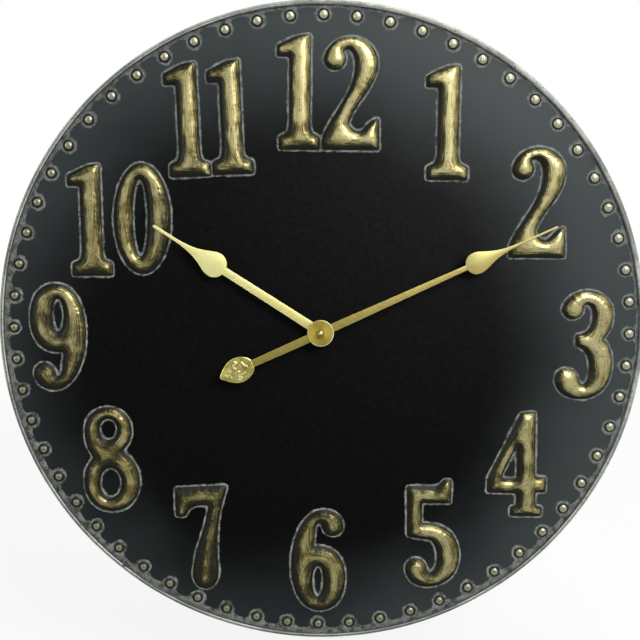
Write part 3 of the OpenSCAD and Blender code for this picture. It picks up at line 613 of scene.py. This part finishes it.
def sortDialLoops():
    # Radii of the dial and its hole, the studs' middles, and each numeral's outline with its counters
    loops = flatLoops("dial_plate", faceY)
    outer = max(loops, key=lambda loop: np.ptp(loop, 0).max())
    studs, numerals, counters = [], [], []
    for loop in loops:
        radius = np.ptp(loop, 0).max() / 2
        middle = (loop.max(0) + loop.min(0)) / 2
        away = lengthOf(middle)
        if loop is outer:
            dialR = radius
        elif away < 2:
            holeR = radius
        elif radius < 6.5 and away > 250:
            studs.append(middle)
        elif area(loop) * area(outer) > 0:
            counters.append(loop)
        else:
            numerals.append([loop])
    for counter in counters:
        next(n for n in numerals if inBox(counter.mean(0)[None], n[0])[0]).append(counter)
    return dialR, holeR, np.array(studs), numerals


def numeralPoints(loops):
    # Points along offsets of a numeral's outlines and in its middle
    step = dialShape["step"]
    found = []
    for loop in loops:
        normal = normalsOf(loop)
        for offset in dialShape["offsets"]:
            for side in (1, -1):
                spots = loop + normal * offset * side
                astray = np.abs(fieldOf(spots, loops)[0] - offset)
                found.append(spots[astray < 0.08 * abs(offset) + 0.04])
    grid = hexGrid(loops[0].min(0), loops[0].max(0), step * 1.1)
    found.append(grid[fieldOf(grid, loops)[0] > 3.0])
    return thinned(np.vstack(found), step * 0.62, np.vstack(loops))


def crestShare(spots, inside, numerals):
    # 0 at the foot of a numeral, 1 along its crest
    share = np.zeros(len(spots))
    for numeral in numerals:
        near = np.flatnonzero(inBox(spots, numeral[0]) & (inside > 0))
        apart = lengthOf(spots[near][:, None] - spots[near])
        widest = np.where(apart < dialShape["strokeReach"], inside[near], 0).max(1)
        nearness = np.exp(-(apart / 3.0) ** 2)
        share[near] = inside[near] / ((nearness * widest).sum(1) / nearness.sum(1))
    return share


def smoothed(values, triangles, free, rounds):
    # Evens out the free points' values with their neighbours'
    pairs = triangles[:, [(0, 1), (1, 2), (2, 0)]].reshape(-1, 2)
    pairs = np.unique(np.sort(pairs, 1), axis=0)
    for _ in range(rounds):
        total = np.zeros(len(values))
        count = np.zeros(len(values))
        for a, b in ((0, 1), (1, 0)):
            np.add.at(total, pairs[:, a], values[pairs[:, b]])
            np.add.at(count, pairs[:, a], 1)
        values = np.where(free, values * 0.45 + 0.55 * total / np.maximum(count, 1), values)
    return values


def dialTriangles(dialR, innerR, holeR, studs, numerals):
    # Points of the front and the triangles between them
    shape = dialShape
    points = []
    edges = []

    def addPoints(ring, closed=False):
        edges.extend(around(len(ring), len(points)) if closed else ())
        points.extend(map(tuple, ring))

    for radius, count in ((dialR, 360), (innerR, 360), (holeR, 48)):
        addPoints(circle(radius, count), True)
    for numeral in numerals:
        for loop in numeral:
            addPoints(loop, True)
    for numeral in numerals:
        addPoints(numeralPoints(numeral))
    for stud in studs:
        addPoints([stud])
        for radius, count in shape["studRings"]:
            addPoints(circle(radius, count, stud, radius), radius == shape["studFoot"])
    flat = hexGrid((-dialR, -dialR), (dialR, dialR), shape["flatStep"])
    distance = lengthOf(flat)
    flat = flat[(distance < innerR - 2.5) & (distance > holeR + 3)]
    studRoom, numeralRoom = shape["flatGap"]
    flat = flat[lengthOf(flat[:, None] - studs).min(1) > studRoom]
    for numeral in numerals:
        near = np.flatnonzero(inBox(flat, numeral[0], 9))
        tooNear = near[fieldOf(flat[near], numeral)[0] >= -numeralRoom]
        flat = np.delete(flat, tooNear, 0)
    addPoints(flat)

    spots, triangles = triangulated(points, edges, 1e-5)
    return spots, triangles[lengthOf(spots[triangles].mean(1)) > holeR - 0.02]


def dialHeights(spots, inside, studGap, triangles, radius, innerR, holeR):
    # Heights in mm over the flat: numerals with a fillet, studs, and slow waves of the sheet
    shape = dialShape
    fillet = np.clip(1 + inside / shape["filletWidth"], 0, 1) ** 2 * shape["filletRise"]
    height = np.where(inside < 0, fillet, crestHeight(inside) + shape["filletRise"])
    height = np.minimum(height, shape["rise"])
    height = smoothed(height, triangles, inside > 1.0, 4)
    height = np.where(studGap < shape["studFoot"], np.maximum(height, studHeight(studGap)), height)
    sway = np.array([noise.noise(Vector((x * 0.008, z * 0.008, 3.1))) for x, z in spots])
    sway *= shape["waves"] * np.clip((innerR - radius) / 30, 0, 1) * np.clip((radius - holeR - 8) / 30, 0, 1)
    return height + sway


def makeDial():
    shape = dialShape
    dialR, holeR, studs, numerals = sortDialLoops()
    innerR = dialR - shape["sheet"]
    numerals = [[roundedLoop(loop, shape["step"]) for loop in numeral] for numeral in numerals]
    print("dial outlines:", len(numerals), "digits,", len(studs), "studs")
    spots, triangles = dialTriangles(dialR, innerR, holeR, studs, numerals)

    # Fields of the points, which the paint uses too
    count = len(spots)
    inside = np.full(count, -12.0)
    hug = np.full(count, 12.0)
    for numeral in numerals:
        near = np.flatnonzero(inBox(spots, numeral[0], 12))
        distance, soft = fieldOf(spots[near], numeral)
        inside[near] = np.maximum(inside[near], distance)
        hug[near] = np.minimum(hug[near], soft)
    studGap = np.full(count, 99.0)
    for stud in studs:
        studGap = np.minimum(studGap, lengthOf(spots - stud))
    radius = lengthOf(spots)
    height = dialHeights(spots, inside, studGap, triangles, radius, innerR, holeR)

    # Front and back skins, and the points along the turned edge
    front = np.stack(placed(spots.T, faceY - height * mm), 1)
    back = front + np.array([0, shape["sheet"] * mm, 0])
    order = np.argsort(np.arctan2(spots[:, 1], spots[:, 0]), kind="stable")
    outerRing, innerRing, holeRing = [
        [i for i in order if abs(radius[i] - ringR) < 1e-3] for ringR in (dialR, innerR, holeR)]
    edge = front[outerRing + innerRing]
    edge[:, 1] = faceY + shape["edgeDepth"] * mm
    vertices = np.vstack([front, back, edge])
    a, b, c = (spots[triangles[:, k]] for k in (0, 1, 2))
    turns = (b[:, 0] - a[:, 0]) * (c[:, 1] - a[:, 1]) - (b[:, 1] - a[:, 1]) * (c[:, 0] - a[:, 0])
    triangles[turns < 0] = triangles[turns < 0][:, ::-1]  # so that the front looks to -Y
    middleR = lengthOf(spots[triangles].mean(1))
    faces = triangles.tolist() + (triangles[middleR < innerR][:, ::-1] + count).tolist()
    outerBase = 2 * count
    innerBase = outerBase + len(outerRing)
    for i, j in around(len(outerRing)):
        faces.append((outerRing[i], outerBase + i, outerBase + j, outerRing[j]))
    for i, j in around(len(innerRing)):
        faces.append((innerRing[i] + count, innerRing[j] + count, innerBase + j, innerBase + i))
        faces.append((outerBase + i, innerBase + i, innerBase + j, outerBase + j))
    for i, j in around(len(holeRing)):
        faces.append((holeRing[i], holeRing[j], holeRing[j] + count, holeRing[i] + count))

    mesh = bpy.data.meshes.new("embossedDial")
    mesh.from_pydata(vertices.tolist(), [], faces)
    crest = crestShare(spots, inside, numerals)
    for name, values, rest in (("inside", inside, -12), ("hug", hug, 12), ("crest", crest, 0),
                               ("studGap", studGap, 99), ("radius", radius, 200)):
        setOnPoints(mesh, name, values, rest)
    mesh.materials.append(makeDialPaint())
    mesh.materials.append(makeBackPaint())
    indices = np.ones(len(mesh.polygons), np.int32)
    indices[:len(triangles)] = 0
    mesh.polygons.foreach_set("material_index", indices)
    finishPiece(mesh, "dial_plate", "clock_case", 62)
    print("dial built:", len(mesh.polygons), "faces")


makeDial()


# Hands

hands = {
    "stain": (0.1, 0.105, 0.02),  # dark marks near the axis and on the tail
    "litFoldTone": (0.5, 0.47, 0.17),  # painted light on the upper half of the minute hand's spade
    "rough": 0.4,
    "metallic": 0.45,
    "step": 0.7,  # gap between points along an outline, in mm
    "bevel": 0.22,  # round along the front edge, in mm
    # Its way inwards and down, as shares of the bevel
    "levels": ((0, 1), (0.3, 0.5), (0.6, 1 / 6), (1, 0)),
}


def turnOf(name):
    # Angle of a hand, clockwise from twelve, from the far end of its solid
    spots = np.array([spotOf(v.co) for v in nodes[name].data.vertices])
    tip = spots[np.argmax(lengthOf(spots))]
    return math.atan2(tip[0], tip[1])


def bevelledPlate(name, loops, frontY, backY, material):
    # A flat stamped piece with a small round along its front edge
    bm = bmesh.new()
    rings = []
    bevel = hands["bevel"]
    levels = [(0, backY)] + [(inset, frontY + bevel * mm * drop) for inset, drop in hands["levels"]]
    for loop in loops:
        normal = normalsOf(loop)
        side = 1 if fieldOf(loop[:1] + normal[:1] * 0.1, loops)[0][0] > 0 else -1
        rings.append([[bm.verts.new(placed(p, y)) for p in loop + normal * side * bevel * inset]
                      for inset, y in levels])
    for ring in rings:
        joinRings(bm, ring)
    for level in (0, -1):
        owners = [v for ring in rings for v in ring[level]]
        flat = [np.array([spotOf(v.co) for v in ring[level]]) for ring in rings]
        edges = []
        for loop in flat:
            edges += around(len(loop), len(edges))
        spots, faces = triangulated(np.vstack(flat), edges, 1e-7)
        for face in faces[fieldOf(spots[faces].mean(1), flat)[0] > 0]:
            bm.faces.new([owners[i] for i in face])
    return meshOf(bm, name, material)


def makeHandBrass(name, turn, low, high, litFold):
    # Brushed brass, richer towards the tip, with painted light that makes it paler above the fold
    material, place = newMaterial(name, Metallic=hands["metallic"], Coat_Weight=0.25, Coat_Roughness=0.3)
    patches, mottle = useGroup(uneven, place, 30.0, 420.0)
    [strokes] = useGroup(brushed, place, turn, 1500.0, 0.03)
    x, z = axisPlace(place)
    along = x * math.sin(turn) + z * math.cos(turn)
    across = x * math.cos(turn) - z * math.sin(turn)
    mixed = strokes * 0.6 + patches * 0.5 + band(along, -60.0, 190.0, 0.5)
    colour = mixColour(band(mixed, 0.5, 1.1), low, high)
    # Painted light: one half of the flat spade is paler, as if lit along a fold
    colour = mixColour(band(across, 0.7, -0.7) * band(along, 138.0, 146.0, litFold), colour, hands["litFoldTone"])
    stains = band(mottle, 0.5, 0.75) * band(along, 20.0, -25.0, 0.62)
    colour = mixColour(stains, colour, hands["stain"])
    return setSurface(material, colour, (strokes - 0.5) * 0.18 + hands["rough"], strokes, 0.00003, 0.5)


def makeHand(name, node, body, low, high, litFold):
    frontY = frontLevels(node)[0]
    material = makeHandBrass(name + "Brass", turnOf(node), low, high, litFold)
    loops = [roundedLoop(loop, hands["step"], 2.0, 0.25) for loop in flatLoops(node, frontY)]
    mesh = bevelledPlate(name, loops, frontY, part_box(node)[1].y, material)
    finishPiece(mesh, node, body, 38)


makeHand("spadeHourHand", "hour_hand", "hour_group",
         (0.72, 0.66, 0.23), (0.84, 0.79, 0.34), 0.0)
makeHand("spadeMinuteHand", "minute_hand", "minute_group",
         (0.27, 0.228, 0.046), (0.51, 0.4, 0.125), 0.75)
print("hands built")


# Tail weight: a soldered, hammered teardrop

weight = {
    "step": 0.45,  # gap between points, in mm
    "side": 0.9,  # how far the front's foot lies behind the front of the solid
    "lift": 0.1,  # and a little further
    "tuck": 0.06,  # how far the back reaches behind the solid's
    "rim": 1.2,  # width of the rounded rim
    "shoulder": 0.35,  # its rise
    "dome": 0.2,  # further rise towards the middle
    "domeWidth": 9,
    "hammer": 0.3,  # depth of a blow
    # Blows: place along the arm and across it from the middle, and radius
    "blows": [(5.0, -3.5, 2.6), (6.0, 3.0, 2.4), (-2.5, 0.5, 2.2), (10.0, -0.5, 2.0)],
    # Raised curls, with a painted highlight along them, as places along the arm and across it
    "curls": [[(-0.7, -8.5), (-2.2, -6.4), (1.4, -5.9), (2.4, -3.6), (0.8, -1.9)],
              [(-6.5, -5.6), (-7.6, -2.0), (-10.0, 0.0)],
              [(-6.0, 4.4), (-2.2, 5.1), (1.0, 4.2), (1.2, 6.7), (-1.2, 7.3), (0.4, 9.4), (2.8, 8.0)]],
    "curlRise": 0.42,
    "curlWide": 0.85,
    "low": (0.36, 0.34, 0.06),
    "high": (0.74, 0.65, 0.2),
    # painted highlight along the curls
    "curlHighlight": (0.95, 0.8, 0.42),
    "besideCurls": (0.2, 0.12, 0.02),  # darker beside the curls
}


def makeHammeredBrass():
    material, place = newMaterial("hammeredBrass", Metallic=0.6, Coat_Weight=0.8, Coat_Roughness=0.22)
    patches, mottle = useGroup(uneven, place, 85.0, 500.0)
    gap = attribute(place.tree, "curlGap")
    colour = mixColour(band(patches, 0.35, 0.65), weight["low"], weight["high"])
    # Darker beside the curls, and a painted highlight along them
    colour = mixColour(band(gap, 2.2, 1.2, 0.7) * band(mottle, 0.3, 0.6), colour, weight["besideCurls"])
    colour = mixColour(band(gap, 1.2, 0.6), colour, weight["curlHighlight"])
    return setSurface(material, colour, mottle * 0.16 + 0.2, mottle, 0.00003, 0.3)


def curlDistance(spots, toSpot):
    # How far each point lies from the nearest curl
    nearest = np.full(len(spots), 99.0)
    for curl in weight["curls"]:
        path = [toSpot(*point) for point in curl]
        for start, end in zip(path, path[1:]):
            leg = end - start
            share = np.clip((spots - start) @ leg / (leg @ leg), 0, 1)
            nearest = np.minimum(nearest, lengthOf(spots - start - share[:, None] * leg))
    return nearest


def makeTailWeight():
    low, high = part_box("tail_weight")
    outlines = [loop for y in frontLevels("tail_weight") for loop in flatLoops("tail_weight", y)]
    outline = roundedLoop(max(outlines, key=lambda loop: abs(area(loop))), weight["step"], 2.0, 0.4)
    grid = hexGrid(outline.min(0), outline.max(0), weight["step"])
    points = [*outline, *grid[fieldOf(grid, [outline])[0] > 0.3]]
    spots, faces = triangulated(points, around(len(outline)), 1e-6)
    faces = faces[fieldOf(spots[faces].mean(1), [outline])[0] > 0]
    distance = np.maximum(fieldOf(spots, [outline])[0], 0)

    # Rounded rim and dome, then blows with a raised edge and curls
    rim = np.clip(distance / weight["rim"], 0, 1)
    rise = np.sqrt(1 - (1 - rim) ** 2) * weight["shoulder"]
    rise += weight["dome"] * (1 - (1 - np.clip(distance / weight["domeWidth"], 0, 1)) ** 2)
    middle = outline.mean(0)
    out = middle / lengthOf(middle)
    sideways = np.array([-out[1], out[0]])

    def toSpot(along, across):
        return middle + out * along + sideways * across

    for along, across, size in weight["blows"]:
        gap = lengthOf(spots - toSpot(along, across)) / size
        rise -= weight["hammer"] * np.clip(1 - gap ** 2, 0, 1) * rim
        rise += 0.45 * weight["hammer"] * np.exp(-((gap - 1.15) / 0.22) ** 2) * rim
    curlGap = curlDistance(spots, toSpot)
    rise += weight["curlRise"] * np.exp(-(curlGap / weight["curlWide"]) ** 2) * rim
    rise = np.clip(rise, -0.2, weight["side"])

    bm = bmesh.new()
    footY = low.y + (weight["side"] + weight["lift"]) * mm
    front = [bm.verts.new(placed(spot, footY - height * mm)) for spot, height in zip(spots, rise)]
    back = [bm.verts.new(placed(spot, high.y + weight["tuck"] * mm)) for spot in outline]
    for face in faces:
        bm.faces.new([front[i] for i in face])
    joinRings(bm, [front, back])
    bm.faces.new(back)
    mesh = meshOf(bm, "hammeredWeight", makeHammeredBrass())
    setOnPoints(mesh, "curlGap", curlGap, 99.0)
    finishPiece(mesh, "tail_weight", "minute_group", 50)
    print("tail weight built")


makeTailWeight()


# Hub disc, turned on a lathe

hub = {
    "bore": 1.45,  # radius, in mm
    "edge": 0.3,  # radius of the rounded front edge
    "segments": 96,
    "hollow": ((0.8, 0.1), (0.5, 0.16)),  # shares of the radius, and depths of the dished face
    "seat": ((4.2, 0.12), (3.4, 0.0)),  # radii and depths where the cap nut sits
    "low": (0.36, 0.27, 0.04),
    "high": (0.7, 0.545, 0.105),
    "rough": 0.34,
    "rings": 2.6,  # how close the marks of the lathe are
    # painted highlight along the edge
    "edgeHighlight": (0.93, 0.86, 0.56),
    "seatShadow": (0.09, 0.05, 0.015),
}


def makeTurnedBrass(brightR):
    # Brass with marks of the lathe, a painted bow-tie reflection, and a painted highlight on its edge,
    # strongest to the lower right
    material, place = newMaterial("turnedGoldBrass", Metallic=0.6, Anisotropic=0.6, Coat_Weight=0.15)
    patches, mottle = useGroup(uneven, place, 90.0, 700.0)
    x, z = axisPlace(place)
    radius = distanceOf(x, z)
    inputs = {"W": radius, "Scale": hub["rings"], "Detail": 3.0}
    marks = addNode(place.tree, "ShaderNodeTexNoise", inputs, "Fac", noise_dimensions="1D")
    # Painted reflection: a bow tie of sheen across the turned face
    bowTieSheen = calculate("SINE", calculate("ARCTAN2", z, x) * 2.0 + 0.6)
    colour = mixColour(band(bowTieSheen * 0.14 + marks * 0.4 + patches * 0.6, 0.25, 0.8), hub["low"], hub["high"])
    lit = band(x * 0.75 - z * 0.45, -9.0, 3.0, 0.8) + 0.2
    colour = mixColour(band(radius, brightR - 0.7, brightR) * lit, colour, hub["edgeHighlight"])
    colour = mixColour(stripe(radius, hub["seat"][1][0], 0.25, 0.6), colour, hub["seatShadow"])
    rough = (mottle - 0.5) * 0.16 + hub["rough"]
    tangent = addNode(place.tree, "ShaderNodeTangent", direction_type="RADIAL", axis="Y")
    return setSurface(material, colour, rough, marks, 0.00002, 0.6, Tangent=tangent)


def makeHubDisc():
    # Turned from a profile of radii in mm and depths in metres
    low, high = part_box("hub_disc")
    radius = (high.x - low.x) / 2 / mm
    bore, edge = hub["bore"], hub["edge"]
    profile = [(bore, high.y), (radius - 0.1, high.y), (radius, high.y - 0.1 * mm),
               (radius, low.y + edge * mm)]
    for i in range(1, 5):
        a = math.radians(22.5 * i)
        profile.append((radius - edge + edge * math.cos(a), low.y + edge * mm * (1 - math.sin(a))))
    hollow = [(radius * share, depth) for share, depth in hub["hollow"]]
    profile += [(ringR, low.y + depth * mm) for ringR, depth in (*hollow, *hub["seat"])]
    profile += [(bore, low.y), (bore, high.y)]
    bm = bmesh.new()
    rings = [[bm.verts.new(placed(p, y)) for p in circle(ringR, hub["segments"])] for ringR, y in profile]
    joinRings(bm, rings)
    mesh = meshOf(bm, "turnedHubDisc", makeTurnedBrass(radius - 0.3))
    finishPiece(mesh, "hub_disc", "minute_group", 30)


makeHubDisc()
print("hub disc built")


# Finishes of the nodes that keep their solids

def twoTone(name, low, high, rough, metallic, patch=40.0, mottle=500.0, bump=0.00005, strength=0.4,
            speck=None, **sockets):
    # Colour between two tones, uneven gloss, fine bump and optional specks
    material, place = newMaterial(name, Metallic=metallic, **sockets)
    patches, grain = useGroup(uneven, place, patch, mottle)
    colour = mixColour(band((patches + grain) * 0.5, 0.36, 0.64), low, high)
    if speck:
        scale, share, tone = speck
        colour = mixColour(useGroup(specks, place, scale, share)[0], colour, tone)
    return setSurface(material, colour, (grain - 0.5) * 0.24 + rough, grain, bump, strength)


rimLook = {
    "low": (0.2, 0.21, 0.185),
    "high": (0.42, 0.43, 0.38),
    "grit": (0.07, 0.07, 0.06),
    "line": (0.035, 0.038, 0.034),  # painted shade along lines beside the bead
    "shadeLines": ((295.9, 0.4), (297.9, 0.35)),  # their radii and half widths, in mm
    "nick": (0.02, 0.02, 0.018),
}


def makeRimSteel():
    # Worn steel, with painted shade along lines beside the bead that fades to the upper right
    look = rimLook
    material, place = newMaterial("wornRimSteel", Metallic=0.3)
    patches, mottle = useGroup(uneven, place, 22.0, 260.0)
    [nicks] = useGroup(specks, place, 95.0, 0.13)
    [grit] = useGroup(specks, place, 480.0, 0.2)
    x, z = axisPlace(place)
    wander = distanceOf(x, z) + patches * 0.9 - 0.45
    shadeLines = largest(*[stripe(wander, radius, half, 0.5) for radius, half in look["shadeLines"]])
    shaded = band(x * 0.77 + z * 0.64, 240.0, 60.0, 0.8) + 0.2
    colour = mixColour(band(patches, 0.35, 0.62), look["low"], look["high"])
    colour = mixColour(grit * 0.7, colour, look["grit"])
    # Painted shade beside the bead, weaker to the upper right where the light falls
    colour = mixColour(shadeLines * band(mottle, 0.22, 0.42) * shaded, colour, look["line"])
    colour = mixColour(nicks, colour, look["nick"])
    return setSurface(material, colour, mottle * 0.35 + 0.42, nicks * -1.2 + mottle, 0.00018, 0.7)


def makeFinishes():
    rim = makeRimSteel()
    brass = twoTone("movementBrass", (0.55, 0.41, 0.15), (0.74, 0.58, 0.25), 0.28, 0.95, 60.0, 900.0)
    finishes = {
        **dict.fromkeys(("painted_steel", "rim_steel"), rim),
        **dict.fromkeys(("brass", "pale_brass", "gold_brass", "hammered_brass"), brass),
        "zinc_steel": twoTone(
            "zincPlate", (0.42, 0.43, 0.43), (0.6, 0.6, 0.57), 0.34, 0.9, 90.0, 420.0,
            speck=(260.0, 0.05, (0.2, 0.2, 0.19))),
        "bright_steel": twoTone("groundSteel", (0.5, 0.5, 0.5), (0.66, 0.66, 0.65), 0.26, 0.95, 50.0, 1200.0),
        "case_plastic": twoTone(
            "casePlastic", (0.018, 0.018, 0.02), (0.032, 0.032, 0.034), 0.52, 0.0, 70.0, 1600.0,
            0.00008, 0.6, Specular_IOR_Level=0.4),
        "pale_plastic": twoTone(
            "paleAcetal", (0.62, 0.6, 0.53), (0.74, 0.72, 0.66), 0.38, 0.0, 60.0, 700.0,
            Subsurface_Weight=0.05),
        "rubber": twoTone(
            "washerRubber", (0.012, 0.012, 0.012), (0.026, 0.026, 0.025), 0.75, 0.0, 80.0, 900.0,
            0.0001, 0.8),
        "magnet": twoTone("magnetIron", (0.05, 0.05, 0.055), (0.09, 0.09, 0.1), 0.5, 0.6),
        "copper_wire": twoTone(
            "copperWire", (0.42, 0.13, 0.05), (0.62, 0.24, 0.09), 0.25, 0.9, 300.0, 2400.0, 0.0001, 0.9,
            Coat_Weight=0.6),
        "board": twoTone("boardMask", (0.02, 0.11, 0.045), (0.035, 0.17, 0.07), 0.3, 0.0, Coat_Weight=0.4),
        "resin": twoTone(
            "blackResin", (0.006, 0.006, 0.006), (0.014, 0.014, 0.015), 0.16, 0.0, Coat_Weight=0.5),
        "cell_sleeve": twoTone(
            "cellSleeve", (0.035, 0.045, 0.06), (0.055, 0.07, 0.09), 0.3, 0.2, 30.0, 300.0,
            Coat_Weight=0.7),
    }
    for subpart in frame["record"]["subparts"]:
        materials = nodes[subpart["node"]].data.materials
        materials.clear()
        materials.append(finishes[subpart["material_slot"]])
    print("finishes given to", len(nodes), "nodes")


makeFinishes()


# Stage, lights and camera

stage = {
    "floorSize": 9.0,
    "floorDrop": 0.06,  # gap under the clock
    "floorColour": (0.8, 0.8, 0.79),
    "floorGlow": 0.83,  # share of plain white near the clock
    "floorFade": (0.9, 2.4),  # distances between which it turns all white
    "front": 0.02,  # how bright the room is low in front of the dial
    "around": 0.42,  # and elsewhere
    "roomColour": (0.93, 0.97, 1.0),
    # Lamps: name, place, size, power and colour
    "lamps": [("keyLamp", (0.75, -1.5, 0.6), 0.9, 30.0, (1.0, 0.99, 0.97)),
              ("fillLamp", (-1.6, -1.1, 0.1), 0.9, 6.0, (0.96, 0.98, 1.0)),
              ("topLamp", (0.25, -0.55, 1.1), 0.8, 9.0, (0.95, 0.98, 1.0)),
              ("backLamp", (0.4, 1.6, 0.9), 1.2, 14.0, (1.0, 1.0, 1.0))],
    # Camera: degrees, metres, lens and sensor in mm, and what it looks at
    "elevation": 8.12, "azimuth": 0.675, "roll": 0.52, "distance": 1.045, "lens": 63.04, "sensor": 36.0,
    "target": (-0.0009, 0.0098),  # to the right of the hands' axis and above it
}


def makeFloor():
    size = stage["floorSize"]
    z = cadLow.z - stage["floorDrop"]
    mesh = bpy.data.meshes.new("floor")
    corners = [(-size, -size, z), (size, -size, z), (size, size, z), (-size, size, z)]
    mesh.from_pydata(corners, [], [(0, 1, 2, 3)])
    floor = newObject("floor", mesh)
    material, place = newMaterial("paleFloor", Roughness=0.9, Base_Color=stage["floorColour"])
    tree = place.tree
    shaded = Wire(tree.nodes["Principled BSDF"].outputs[0])
    far = addNode(tree, "ShaderNodeVectorMath", {0: place}, "Value", operation="LENGTH")
    share = band(far, *stage["floorFade"], 1.0 - stage["floorGlow"]) + stage["floorGlow"]
    share = addNode(tree, "ShaderNodeLightPath", output="Is Camera Ray") * share
    white = addNode(tree, "ShaderNodeEmission", {"Strength": 1.0})
    both = addNode(tree, "ShaderNodeMixShader", {0: share, 1: shaded, 2: white})
    feed(tree.nodes["Material Output"].inputs["Surface"], both)
    mesh.materials.append(material)
    floor.visible_glossy = False  # so that the black dial doesn't mirror it


def makeWorld():
    # A soft room, dark low in front of the dial, and plain white to the camera
    world = bpy.data.worlds.new("softRoom")
    bpy.context.scene.world = world
    world.use_nodes = True
    tree = world.node_tree
    tree.nodes.clear()
    x, y, z = partsOf(addNode(tree, "ShaderNodeTexCoord", output="Generated"))
    above = band(x * 0.55 + z, -0.05, 0.62)
    beside = band(calculate("ABSOLUTE", x), 0.35, 0.85)
    below = band(z, -0.5, -0.85)
    behind = band(y, -0.3, 0.2)
    level = largest(above, beside, below, behind) * (stage["around"] - stage["front"]) + stage["front"]
    rays = ("Is Camera Ray", "Is Transmission Ray")
    seen = largest(*[addNode(tree, "ShaderNodeLightPath", output=ray) for ray in rays])
    room = addNode(tree, "ShaderNodeBackground", {"Color": stage["roomColour"], "Strength": level})
    white = addNode(tree, "ShaderNodeBackground", {"Color": (1, 1, 1), "Strength": 1.0})
    both = addNode(tree, "ShaderNodeMixShader", {0: seen, 1: room, 2: white})
    feed(tree.nodes.new("ShaderNodeOutputWorld").inputs["Surface"], both)


def makeLights():
    for name, place, size, power, colour in stage["lamps"]:
        lamp = bpy.data.lights.new(name, "AREA")
        lamp.shape = "DISK"
        lamp.size = size
        lamp.energy = power
        lamp.color = colour
        holder = newObject(name, lamp)
        holder.location = place
        towards = Vector((centreX, faceY, centreZ)) - Vector(place)
        holder.rotation_euler = towards.to_track_quat("-Z", "Y").to_euler()


def makeCamera():
    right, up = stage["target"]
    a, e, roll = (math.radians(stage[key]) for key in ("azimuth", "elevation", "roll"))
    back = Vector((math.sin(a) * math.cos(e), -math.cos(a) * math.cos(e), math.sin(e)))
    data = bpy.data.cameras.new("camera")
    data.lens = stage["lens"]
    data.sensor_width = stage["sensor"]
    camera = newObject("camera", data)
    camera.location = Vector((centreX + right, faceY, centreZ + up)) + back * stage["distance"]
    turned = (-back).to_track_quat("-Z", "Y").to_matrix().to_4x4()
    camera.rotation_euler = (turned @ Matrix.Rotation(roll, 4, "Z")).to_euler()
    bpy.context.scene.camera = camera


makeFloor()
makeWorld()
makeLights()
makeCamera()
bpy.context.scene.view_settings.view_transform = "Standard"
print("stage, lights and camera set")
